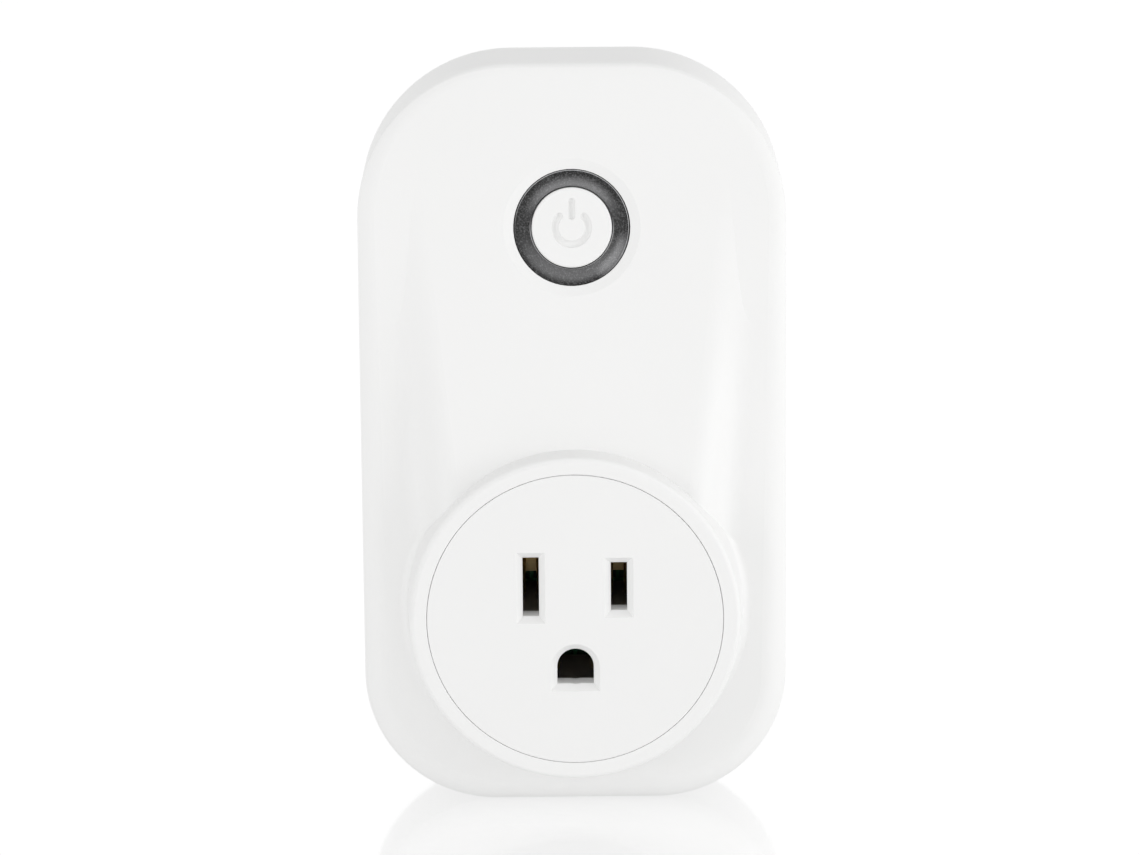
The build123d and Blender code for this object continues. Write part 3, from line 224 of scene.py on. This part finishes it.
looks = {
    "white_housing": moulded("white_housing", (0.855, 0.855, 0.85), 0.5, 3.2, 0.012, 0.006),
    "white_socket": moulded("white_socket", (0.85, 0.85, 0.845), 0.46, 4.5, 0.006, 0.006),
    "white_button": moulded("white_button", (0.85, 0.85, 0.845), 0.42, 4.5, 0.005, 0.004),
    "carrier_plastic": moulded("carrier_plastic", (0.34, 0.34, 0.35), 0.5, 3.0, 0.02, 0.08),
    "black_insulator": moulded("black_insulator", (0.05, 0.05, 0.055), 0.48, 3.5, 0.015, 0.1),
    "white_insulator": moulded("white_insulator", (0.8, 0.8, 0.76), 0.5, 4.0, 0.01, 0.03),
    "relay_housing": moulded("relay_housing", (0.03, 0.13, 0.32), 0.3, 1.6, 0.006, 0.08, DUST),
    "chip_black": moulded("chip_black", (0.035, 0.035, 0.035), 0.6, 7.0, 0.02, 0.12),
    "capacitor_yellow": moulded("capacitor_yellow", (0.78, 0.58, 0.08), 0.32, 1.2, 0.008, 0.05, DUST),
    "varistor_blue": moulded("varistor_blue", (0.04, 0.12, 0.42), 0.25, 0.5, 0.09, 0.15),
    "ferrite": moulded("ferrite", (0.1, 0.1, 0.105), 0.66, 2.4, 0.05, 0.2),
    "led_lens": moulded("led_lens", (0.85, 0.84, 0.7), 0.2, 1.5, 0.01, 0.15),
}
print("plastics:", len(looks))

# %% [markdown]
# ## Metals
#
# Drawn, rolled and turned metal all show lines along the way they were worked, so one function stretches
# the same noise along an axis. Handling adds smudges, which change the gloss but not the shape.

# %% Metal
def metal(name, colour, gloss, stretch, line_depth_mm, dulling=0.1):
    """Worked metal: lines along the axis with the largest stretch, smudges and a little tarnish."""
    finish = Finish(name, Metallic=1.0, Roughness=gloss)
    lines = finish.noise(6.0, 2.0, stretch)
    smudge = finish.noise(0.35, 3.0)
    tarnish = finish.noise(0.9, 4.0, roughness=0.65).between(0.5, 0.75)
    worn = lines.mix(tint(*(part * 0.94 for part in colour)), tint(*colour))
    finish.feed("Base Color", (tarnish * dulling).mix(worn, tint(*(part * 0.5 for part in colour))))
    finish.feed("Roughness", gloss + 0.12 * smudge + 0.06 * lines)
    finish.relief(lines, line_depth_mm, 0.7)
    return finish.material


looks["plated_brass"] = metal("plated_brass", (0.78, 0.76, 0.70), 0.16, (1, 30, 1), 0.004)
looks["spring_brass"] = metal("spring_brass", (0.78, 0.60, 0.30), 0.22, (1, 25, 1), 0.005, 0.3)
looks["screw_steel"] = metal("screw_steel", (0.62, 0.62, 0.60), 0.24, (1, 4, 1), 0.004, 0.3)
looks["shield_metal"] = metal("shield_metal", (0.72, 0.72, 0.70), 0.28, (20, 1, 1), 0.004)
looks["relay_iron"] = metal("relay_iron", (0.50, 0.50, 0.48), 0.30, (20, 1, 1), 0.004, 0.4)
looks["copper_leaf"] = metal("copper_leaf", (0.80, 0.45, 0.26), 0.22, (1, 1, 25), 0.004, 0.3)
looks["contact_silver"] = metal("contact_silver", (0.82, 0.82, 0.80), 0.26, (1, 1, 1), 0.003, 0.5)
looks["tinned_lead"] = metal("tinned_lead", (0.75, 0.75, 0.74), 0.24, (1, 12, 1), 0.006, 0.2)
print("plastics and metals:", len(looks))

# %% [markdown]
# ## Boards, windings and sleeves
#
# Inside the case, patterns are made of waves and bricks: glass weave and tracks under the solder mask,
# turns of wire round a coil, layers of tape, and the pale stripe that marks a capacitor's negative side.

# %% Circuit boards
def board(name, mask, track_lift):
    """Solder mask over a woven board, with tracks that lie a little proud and paler under it."""
    finish = Finish(name, Roughness=0.34, IOR=1.5, Coat_Weight=0.2)
    across, up = finish.axis("X"), finish.axis("Z")
    flat = across.node("ShaderNodeCombineXYZ", {"X": across, "Y": up})
    bricks = {"Vector": flat, "Scale": 0.14, "Mortar Size": 0.045, "Brick Width": 0.9, "Row Height": 0.3}
    tracks = flat.node("ShaderNodeTexBrick", bricks, {"offset": 0.37, "squash": 1.6}, "Fac")
    weave = finish.wave(across, 0.5) * finish.wave(up, 0.5)
    paler = tint(*(part * track_lift for part in mask))
    finish.feed("Base Color", tracks.mix(weave.mix(tint(*(part * 0.88 for part in mask)), tint(*mask)), paler))
    finish.feed("Roughness", 0.3 + 0.1 * finish.noise(1.1))
    finish.relief(tracks + 0.15 * weave, 0.035, 0.8)
    return finish.material


looks["circuit_board"] = board("circuit_board", (0.05, 0.24, 0.12), 1.9)
looks["module_board"] = board("module_board", (0.03, 0.09, 0.22), 2.0)
print("with boards:", len(looks))

# %% [markdown]
# A coil looks striped because light catches the crown of every turn and misses the groove between. A wave
# along the coil's axis, a little unsteady, gives both the colour and the relief of the turns.

# %% Windings
def winding(name, colour, pitch_mm, gloss, depth_mm):
    """Turns side by side along the coil's axis, which points to the front."""
    finish = Finish(name, Roughness=gloss, Coat_Weight=0.5, Coat_Roughness=0.15)
    turns = finish.wave(finish.axis("Y") + 0.1 * finish.noise(0.5), pitch_mm)
    shade = turns.between(0.0, 0.6).mix(tint(*(part * 0.35 for part in colour)), tint(*colour))
    finish.feed("Base Color", shade)
    finish.feed("Roughness", gloss + 0.1 * finish.noise(2.0))
    finish.relief(turns, depth_mm, 0.8)
    return finish


wire = winding("enamelled_copper", (0.62, 0.26, 0.12), 0.16, 0.3, 0.06)
wire.shader.inputs["Metallic"].default_value = 0.8
looks["enamelled_copper"] = wire.material
looks["winding_tape"] = winding("winding_tape", (0.80, 0.62, 0.12), 1.3, 0.25, 0.03).material
print("with windings:", len(looks))

# %% [markdown]
# The sleeve of an electrolytic capacitor is shrunk plastic film, so it is glossy and faintly rippled. A pale
# stripe down one side, broken into short dashes, tells the fitter which lead is negative.

# %% Capacitor sleeve
sleeve = Finish("capacitor_sleeve", Roughness=0.3, Coat_Weight=0.4)
dashes = sleeve.wave(sleeve.axis("Z"), 8.6).between(0.86, 0.9)
stripe = dashes * sleeve.wave(sleeve.axis("X"), 3.0).between(0.1, 0.2)
sleeve.feed("Base Color", stripe.mix(tint(0.05, 0.06, 0.08), tint(0.62, 0.64, 0.66)))
sleeve.feed("Roughness", 0.24 + 0.14 * sleeve.noise(0.8))
sleeve.relief(sleeve.noise(0.7, 2.0, (6, 1, 1)), 0.04, 0.5)
looks["capacitor_sleeve"] = sleeve.material
print("with sleeves:", len(looks))

# %% [markdown]
# A glass fuse is clear in the middle and has a plated cap at each end. One mask along its length switches
# from glass to metal, and the same mask sets how much of the glass can be seen through.

# %% Glass fuse
fuse_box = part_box("fuse")
fuse_middle = sum(corner[2] for corner in fuse_box) / 2 / MM
CAP_EDGE = (3.7, 3.8)
fuse = Finish("fuse_glass", Roughness=0.12, IOR=1.5)
along = fuse.axis("Z") - fuse_middle
from_middle = along.math("ABSOLUTE", along)
cap = from_middle.between(*CAP_EDGE)
fuse.feed("Metallic", cap)
fuse.feed("Base Color", cap.mix(tint(0.86, 0.88, 0.86), tint(0.72, 0.71, 0.68)))
fuse.feed("Alpha", 0.4 + 0.6 * cap)
fuse.feed("Roughness", 0.06 + 0.2 * cap + 0.1 * fuse.noise(1.5))
fuse.relief(fuse.noise(1.2, 2.0, (8, 8, 1)), 0.01, 0.5)
looks["fuse_glass"] = fuse.material
print("finishes:", len(looks))

# %% [markdown]
# ## The button's own axes
#
# The front leans back a few degrees, and the button, its ring and its switch lean with it. The pieces round
# the button are built flat, about an axis that points up, and then laid on the face as a group.

# %% The face matrix
TOP_DEPTH, TOP_HEIGHT = 24.7, 74.25
FOOT_DEPTH, FOOT_HEIGHT = 36.11, -4.7
SLOPE = (FOOT_DEPTH - TOP_DEPTH) / (TOP_HEIGHT - FOOT_HEIGHT)
BUTTON_HEIGHT = 51.0
FACE_DEPTH = TOP_DEPTH + (TOP_HEIGHT - BUTTON_HEIGHT) * SLOPE
tilt = atan(SLOPE)
outward = Vector((0, -cos(tilt), sin(tilt)))
up_face = Vector((0, sin(tilt), cos(tilt)))
centre = Vector((0, -FACE_DEPTH, BUTTON_HEIGHT)) * MM
face = Matrix.Translation(centre) @ Matrix((Vector((1, 0, 0)), up_face, outward)).transposed().to_4x4()
wall_side = Matrix.Rotation(-pi / 2, 4, "X")


def depth_range(node):
    """Lowest and highest point of a packed node along the button's axis, in millimetres from the face."""
    back_to_flat = face.inverted()
    heights = [(back_to_flat @ vertex.co).z / MM for vertex in frame["nodes"][node].data.vertices]
    return min(heights), max(heights)


ring_back, ring_front = depth_range("light_ring")
cap_back, cap_front = depth_range("button_cap")
print(f"face leans {tilt * 180 / pi:.2f} degrees; ring {ring_back:.2f} to {ring_front:.2f} mm")
print(f"cap {cap_back:.2f} to {cap_front:.2f} mm from the face")

# %% [markdown]
# ## Turned shapes
#
# A ring, a cap and a screw are all turned shapes. Each starts as a circle of edges, which is extruded,
# resized and lifted from one point of the profile to the next. Holes left at the ends are filled.

# %% Turning a profile
def start_fresh():
    """Leave edit mode with nothing selected, so that an operator acts only on what comes next."""
    if bpy.context.object and bpy.context.object.mode != "OBJECT":
        bpy.ops.object.mode_set(mode="OBJECT")
    bpy.ops.object.select_all(action="DESELECT")


def turned(name, profile, segments=128, closed=False):
    """Surface of a profile of (radius, height) points in millimetres about Z."""
    start_fresh()
    radius, height = profile[0]
    bpy.ops.mesh.primitive_circle_add(vertices=segments, radius=radius * MM, location=(0, 0, 0))
    made = bpy.context.object
    made.name = name
    bpy.ops.object.mode_set(mode="EDIT")
    bpy.ops.mesh.select_all(action="SELECT")
    bpy.ops.transform.translate(value=(0, 0, height * MM))
    for (radius_a, height_a), (radius_b, height_b) in zip(profile, profile[1:]):
        bpy.ops.mesh.extrude_edges_move()
        share = radius_b / radius_a
        bpy.ops.transform.resize(value=(share, share, 1), center_override=(0, 0, 0))
        bpy.ops.transform.translate(value=(0, 0, (height_b - height_a) * MM))
    bpy.ops.mesh.select_all(action="SELECT")
    if closed:
        bpy.ops.mesh.remove_doubles(threshold=1e-6)
    else:
        bpy.ops.mesh.fill_holes(sides=0)
    bpy.ops.mesh.select_all(action="SELECT")
    bpy.ops.mesh.normals_make_consistent(inside=False)
    bpy.ops.object.mode_set(mode="OBJECT")
    return made


print("helpers:", start_fresh.__name__, turned.__name__)

# %% [markdown]
# What is turned still has to be laid on its face, cut and softened. Each of these is one small step that
# leaves its result in the mesh, so that the finished piece sits at the origin, unturned and unscaled.

# %% Laying down, cutting and softening
def lay(made, matrix):
    """Move a piece by a matrix and keep the move in its mesh."""
    start_fresh()
    made.select_set(True)
    bpy.context.view_layer.objects.active = made
    made.matrix_world = matrix
    bpy.ops.object.transform_apply(location=True, rotation=True, scale=True)


def cut(made, tool):
    """Take the tool's shape out of a piece, and the tool out of the scene."""
    start_fresh()
    bpy.context.view_layer.objects.active = made
    modifier = made.modifiers.new("cut", "BOOLEAN")
    modifier.operation = "DIFFERENCE"
    modifier.solver = "EXACT"
    modifier.object = tool
    bpy.ops.object.modifier_apply(modifier=modifier.name)
    bpy.data.objects.remove(tool)


def soften(made, width_mm, segments, angle):
    """Round the sharp edges of a piece and shade it smoothly between them."""
    start_fresh()
    made.select_set(True)
    bpy.context.view_layer.objects.active = made
    if width_mm:
        modifier = made.modifiers.new("soften", "BEVEL")
        modifier.width = width_mm * MM
        modifier.segments = segments
        modifier.limit_method = "ANGLE"
        modifier.angle_limit = radians(angle)
        bpy.ops.object.modifier_apply(modifier=modifier.name)
    bpy.ops.object.shade_smooth_by_angle(angle=radians(angle))


def arc(radius, height, centre_radius, centre_height, start, end, steps):
    """Points of a rounded corner: radius and height of its centre, then angles in degrees."""
    turn = [radians(start + (end - start) * step / steps) for step in range(steps + 1)]
    return [(centre_radius + radius * cos(angle), centre_height + height * sin(angle)) for angle in turn]


print("helpers:", lay.__name__, cut.__name__, soften.__name__, arc.__name__)

# %% [markdown]
# ## The button with its power symbol
#
# The symbol is a round-bottomed groove: a short bar and most of a circle, both with round ends. A torus cut
# open at the top is the cutter for the circle, and a capsule is the cutter for the bar.

# %% Button cap
CAP_RADIUS = 5.77
ROUNDING = 0.3
profile = [(CAP_RADIUS - ROUNDING - 0.08, cap_front)]
profile += arc(ROUNDING, ROUNDING, CAP_RADIUS - ROUNDING, cap_front - ROUNDING, 90, 0, 6)
profile += [(CAP_RADIUS, -3.26), (6.7, -3.26), (6.7, -4.26), (4.57, -4.26), (4.57, cap_front - 1.2)]
profile += [(1.5, cap_front - 1.2), (1.5, cap_back), (0.3, cap_back)]
button = turned("button_with_symbol", profile)
print("cap before its symbol:", len(button.data.polygons), "faces")

# %% [markdown]
# The groove is cut where the cutters' middle lies a hair above the face, so it is a little under half round
# and meets the face at a clear edge, as an engraved mould leaves it.

# %% Sizes of the symbol
GROOVE = 0.52
GROOVE_HEIGHT = cap_front + 0.04
SYMBOL_RADIUS = 2.4
GAP = 47.5
BAR = (1.6, 3.7)


def groove_ball(place):
    """Ball at the end of a groove."""
    start_fresh()
    spot = Vector((place[0], place[1], GROOVE_HEIGHT)) * MM
    bpy.ops.mesh.primitive_uv_sphere_add(segments=32, ring_count=24, radius=GROOVE * MM, location=spot)
    return bpy.context.object


print(f"groove {2 * GROOVE:.2f} mm wide, symbol {2 * SYMBOL_RADIUS:.1f} mm across")

# %% The circle of the symbol
start_fresh()
spot = Vector((SYMBOL_RADIUS, 0, GROOVE_HEIGHT)) * MM
bpy.ops.mesh.primitive_circle_add(vertices=32, radius=GROOVE * MM, location=(0, 0, 0))
sweep = bpy.context.object
bpy.ops.object.mode_set(mode="EDIT")
bpy.ops.mesh.select_all(action="SELECT")
bpy.ops.transform.rotate(value=pi / 2, orient_axis="X", center_override=(0, 0, 0))
bpy.ops.transform.translate(value=spot)
bpy.ops.mesh.spin(steps=72, angle=radians(360 - 2 * GAP), center=(0, 0, 0), axis=(0, 0, 1))
bpy.ops.mesh.select_all(action="SELECT")
bpy.ops.mesh.remove_doubles(threshold=1e-7)
bpy.ops.mesh.fill_holes(sides=0)
bpy.ops.mesh.select_all(action="SELECT")
bpy.ops.mesh.normals_make_consistent(inside=False)
bpy.ops.object.mode_set(mode="OBJECT")
lay(sweep, Matrix.Rotation(radians(90 - GAP), 4, "Z"))
cut(button, sweep)
for side in (1, -1):
    angle = radians(90 + side * GAP)
    cut(button, groove_ball((SYMBOL_RADIUS * cos(angle), SYMBOL_RADIUS * sin(angle))))
print("cap with the circle:", len(button.data.polygons), "faces")

# %% The bar of the symbol
start_fresh()
bpy.ops.mesh.primitive_cylinder_add(
    vertices=32, radius=GROOVE * MM, depth=(BAR[1] - BAR[0]) * MM, rotation=(pi / 2, 0, 0),
    location=Vector((0, sum(BAR) / 2, GROOVE_HEIGHT)) * MM,
)
cut(button, bpy.context.object)
for end in BAR:
    cut(button, groove_ball((0, end)))
soften(button, 0.09, 1, 20)
lay(button, face)
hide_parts("button_cap")
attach(button, "button")
print("button:", len(button.data.polygons), "faces")

# %% [markdown]
# ## The light ring
#
# The ring is smoked, faintly domed and framed by a hair-thin bead. Behind it, hidden in the case, are the
# flange that holds it and the tube that brings the light forward from the diodes.

# %% Light ring
outer, inner = 8.3, 5.92
profile = [(outer, -2.0), (outer, -0.6)]
profile += [(8.27, -0.52), (8.21, -0.47), (8.14, -0.455), (8.07, -0.48), (8.0, -0.56), (7.93, -0.56)]
profile += [(7.6, -0.49), (7.2, -0.46), (6.8, -0.455), (6.4, -0.49)]
profile += [(6.12, -0.55), (6.04, -0.6), (5.98, -0.62), (inner, -0.7)]
profile += [(inner, -3.2), (7.0, -3.2), (7.0, ring_back), (outer, ring_back), (outer, -3.2)]
profile += [(9.7, -3.2), (9.7, -2.0), (outer, -2.0)]
ring = turned("smoked_ring", profile, 192, closed=True)
soften(ring, 0, 1, 32)
lay(ring, face)
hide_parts("light_ring")
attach(ring, "root")
print("ring:", len(ring.data.polygons), "faces")

# %% [markdown]
# Smoked plastic looks black until light gets behind it. The finish measures where it is on the ring, how far out
# and in which direction, and paints light into the black: painted light where the ring's section turns towards
# the light, at the top, low down and on the lower right, and painted highlights along the bead and at the inner
# lip.

# %% Smoked finish of the ring
smoke = Finish("smoked_light_guide", Roughness=0.32, IOR=1.4, Coat_Weight=0.06, Coat_Roughness=0.15)
right = smoke.axis("X")
height = (smoke.axis("Z") - BUTTON_HEIGHT) / cos(tilt)
reach = (right * right + height * height).math("SQRT", right * right + height * height)
outwards = (reach - inner) / (outer - inner)
east, north = right / reach, height / reach
speck = smoke.noise(3.6, 3.0, roughness=0.8).between(0.44, 0.62)
# Painted light: the ring is lighter at the top, low down and on the lower right, by direction on the ring.
painted_light_top = north.between(0.1, 0.9) * (1 - outwards.between(0.1, 0.75))
painted_light_low = (0 - north).between(0.0, 0.9) * (1 - outwards.between(0.55, 1.0))
painted_light_side = (east * 0.82 - north * 0.57).between(0.86, 1.0) * outwards.between(0.2, 0.6)
# Painted highlights: a bright line along the bead, stronger towards the top, and one at the inner lip low on the
# ring.
bead_painted_highlight = outwards.between(0.91, 0.93) * (1 - outwards.between(0.94, 0.96)) * (north + 0.3 * east).between(-0.6, 0.6)
lip_painted_highlight = (1 - outwards.between(0.03, 0.07)) * (0.35 - north).between(0.0, 0.6)
speck_and_painted_light = 0.19 * painted_light_top + 0.11 * painted_light_low + 0.17 * painted_light_side + 0.09 * speck
speck_and_painted_light = speck_and_painted_light + 0.6 * bead_painted_highlight + 0.6 * lip_painted_highlight
print(f"smoked finish from {inner:.2f} to {outer:.2f} mm out")

# %% Feed the smoked finish
# The base colour is black, with a speckle of the plastic's own tone and the painted light over it.
smoke.feed("Base Color", speck_and_painted_light.mix(tint(0.0, 0.0, 0.0), tint(1.0, 1.0, 1.02)))
smoke.feed("Roughness", 0.3 + 0.22 * speck)
smoke.relief(speck, 0.06, 0.9)
looks["smoked_light_guide"] = smoke.material
print("all finishes:", len(looks))

# %% [markdown]
# ## Screws
#
# One case screw is turned, ridged like a thread and given its cross recess. The other three are copies
# with meshes of their own, and the four are joined into the piece that the model knows as one.

# %% One case screw
CREST, ROOT, PITCH = 1.4, 1.15, 0.7
profile = [(0.3, 1.8), (1.9, 1.8)] + arc(0.8, 0.8, 2.0, 1.0, 80, 0, 6)
profile += [(2.8, 0.12), (2.68, 0.0), (CREST, 0.0), (CREST, -0.8)]
for turn in range(14):
    profile += [(ROOT, -1.1 - PITCH * turn), (CREST, -1.45 - PITCH * turn)]
profile += [(0.9, -11.3), (0.3, -12.0)]
screw = turned("case_screw", profile, 48)
print("screw before its recess:", len(screw.data.polygons), "faces")

# %% [markdown]
# The cross recess is two tapered wedges at right angles. A cone of four sides is such a wedge once it is
# turned by an eighth and squeezed, and it is cut out of the head twice.

# %% Cross recess
for spin in (0, pi / 2):
    start_fresh()
    bpy.ops.mesh.primitive_cone_add(
        vertices=4, radius1=0.5 * MM, radius2=2.1 * MM, depth=1.5 * MM, location=(0, 0, 1.15 * MM)
    )
    blade = bpy.context.object
    bpy.ops.object.mode_set(mode="EDIT")
    bpy.ops.mesh.select_all(action="SELECT")
    bpy.ops.transform.rotate(value=pi / 4, orient_axis="Z", center_override=(0, 0, 0))
    bpy.ops.transform.resize(value=(1, 0.24, 1), center_override=(0, 0, 0))
    bpy.ops.transform.rotate(value=spin, orient_axis="Z", center_override=(0, 0, 0))
    bpy.ops.object.mode_set(mode="OBJECT")
    cut(screw, blade)
soften(screw, 0.05, 2, 40)
print("screw with its recess:", len(screw.data.polygons), "faces")

# %% Four screws in their places
SEAT = 3.6
HEAD_RADIUS = 2.8
SIDE_LOW, SIDE_HIGH = 21.5, 20.0
low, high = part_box("case_screws")
places = [(side * SIDE_LOW, low.z / MM + HEAD_RADIUS) for side in (-1, 1)]
places += [(side * SIDE_HIGH, high.z / MM - HEAD_RADIUS) for side in (-1, 1)]
screws = []
for index, (x, z) in enumerate(places):
    copy = bpy.data.objects.new(f"screw_{index}", screw.data.copy())
    bpy.context.scene.collection.objects.link(copy)
    turn = Matrix.Rotation(radians(17 + 31 * index), 4, "Z")
    lay(copy, Matrix.Translation(Vector((x, -SEAT, z)) * MM) @ wall_side @ turn)
    screws.append(copy)
bpy.data.objects.remove(screw)
print("screws placed:", len(screws))

# %% Join the screws
start_fresh()
for copy in screws:
    copy.select_set(True)
bpy.context.view_layer.objects.active = screws[0]
bpy.ops.object.join()
screws[0].name = "cross_screws"
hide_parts("case_screws")
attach(screws[0], "root")
print("screws:", len(screws[0].data.polygons), "faces")

# %% [markdown]
# ## Put the finishes on
#
# A packed node keeps its mesh and takes the finish of its slot. The modelled pieces name the same slots.

# %% Assign
def wear(target, name):
    target.data.materials.clear()
    target.data.materials.append(looks[name])


for part in frame["record"]["subparts"]:
    wear(frame["nodes"][part["node"]], part["material_slot"])
wear(button, "white_button")
wear(ring, "smoked_light_guide")
wear(screws[0], "screw_steel")

# %% [markdown]
# ## The studio table
#
# The product stands on a white table that is lit until it vanishes, with a trace of its own reflection at
# its foot. The table also gives light from below, which is what keeps the underside of a white product
# bright, and it keeps a trace of the product's shadow.

# %% Levels of the light
FLOOR_LIGHT = 0.95
AMBIENT = 0.775
LAMPS = [
    ("right_box", (0.5, -0.2, 0.12), 0.3, 0.78),
    ("left_box", (-0.45, -0.4, 0.12), 0.35, 0.5),
    ("front_box", (0.0, -0.5, 0.0), 0.3, 0.24),
]
print("lamps:", ", ".join(f"{name} {power} W" for name, place, size, power in LAMPS))

# %% Which rays see a surface
def light_paths(tree):
    """1 for rays that show the surface itself: straight, mirrored or through glass."""
    rays = tree.nodes.new("ShaderNodeLightPath")
    seen = Wire(tree, rays.outputs["Is Camera Ray"])
    mirrored = Wire(tree, rays.outputs["Is Glossy Ray"])
    through = Wire(tree, rays.outputs["Is Transmission Ray"])
    return seen.math("MAXIMUM", seen, seen.math("MAXIMUM", mirrored, through))


print("helper:", light_paths.__name__)

# %% [markdown]
# The table has two faces in one material. Rays that look at it see an even glow with a soft mirror over it.
# All other rays meet a matt surface that gives off light of its own.

# %% Floor
foot_z = cad_box[0][2]
start_fresh()
bpy.ops.mesh.primitive_plane_add(size=6.0, location=(0, 0, foot_z))
floor = bpy.context.object
floor.name = "floor"
floor_look = bpy.data.materials.new("white_table")
floor_look.use_nodes = True
tree = floor_look.node_tree
tree.nodes.clear()
begin = Wire(tree, None)
lit = begin.node("ShaderNodeEmission", {"Color": tint(1, 1, 1), "Strength": 1.06})
gloss = begin.node("ShaderNodeBsdfAnisotropic", {"Color": tint(1, 1, 1), "Roughness": 0.09})
matt = begin.node("ShaderNodeBsdfDiffuse", {"Color": tint(0.85, 0.85, 0.85)})
given = begin.node("ShaderNodeEmission", {"Color": tint(1, 1, 1), "Strength": FLOOR_LIGHT})
seen_top = begin.node("ShaderNodeMixShader", {0: 0.48, 1: lit, 2: gloss})
seen_top = begin.node("ShaderNodeMixShader", {0: 0.06, 1: seen_top, 2: matt})
lighting = begin.node("ShaderNodeMixShader", {0: 0.5, 1: matt, 2: given})
top = begin.node("ShaderNodeMixShader", {0: light_paths(tree), 1: lighting, 2: seen_top})
out = tree.nodes.new("ShaderNodeOutputMaterial")
tree.links.new(top.socket, out.inputs["Surface"])
floor.data.materials.append(floor_look)
print(f"floor at {foot_z / MM:.2f} mm")

# %% [markdown]
# The sky is plain white to the camera. For the light that reaches the product it is nearly a quarter
# weaker, so that white plastic stays just below the white of the page.

# %% World
world = bpy.data.worlds.new("studio")
bpy.context.scene.world = world
world.use_nodes = True
tree = world.node_tree
tree.nodes.clear()
begin = Wire(tree, None)
ambient = begin.node("ShaderNodeBackground", {"Color": tint(1, 1, 1), "Strength": AMBIENT})
page = begin.node("ShaderNodeBackground", {"Color": tint(1, 1, 1), "Strength": 1.0})
sky = begin.node("ShaderNodeMixShader", {0: light_paths(tree), 1: ambient, 2: page})
out = tree.nodes.new("ShaderNodeOutputWorld")
tree.links.new(sky.socket, out.inputs["Surface"])
print("ambient level:", AMBIENT)

# %% [markdown]
# Three weak softboxes shape the form. The one on the right is the strongest, which brightens the right side
# of the shell, and the weak one in front lifts the face.

# %% Lamps
def softbox(name, place, target, size, power):
    """Square area lamp at a place, in metres, turned to a target."""
    lamp = bpy.data.lights.new(name, "AREA")
    lamp.size = size
    lamp.energy = power
    holder = bpy.data.objects.new(name, lamp)
    holder.location = place
    holder.rotation_euler = (Vector(target) - Vector(place)).to_track_quat("-Z", "Y").to_euler()
    bpy.context.scene.collection.objects.link(holder)


middle = (cad_box[0] + cad_box[1]) / 2
for name, place, size, power in LAMPS:
    softbox(name, place, middle, size, power)
print("aimed at:", [round(value / MM, 1) for value in middle], "mm")

# %% [markdown]
# ## The camera
#
# A long lens from three quarters of a metre, a little above the product and turned down on it.

# %% Camera
SENSOR = 36.0
camera_data = bpy.data.cameras.new("camera")
camera_data.sensor_width = SENSOR
camera_data.lens = 164.1
camera = bpy.data.objects.new("camera", camera_data)
pitch = radians(12.6)
roll = radians(-0.5)
camera.location = (-0.5 * MM, -760.8 * MM, 185.45 * MM)
camera.rotation_euler = (Matrix.Rotation(pi / 2 - pitch, 3, "X") @ Matrix.Rotation(roll, 3, "Z")).to_euler()
bpy.context.scene.collection.objects.link(camera)
bpy.context.scene.camera = camera
bpy.context.scene.view_settings.view_transform = "Standard"
print(f"camera {camera.location.length:.3f} m from the origin, lens {camera_data.lens:.1f} mm")

# %% [markdown]
# ## The end
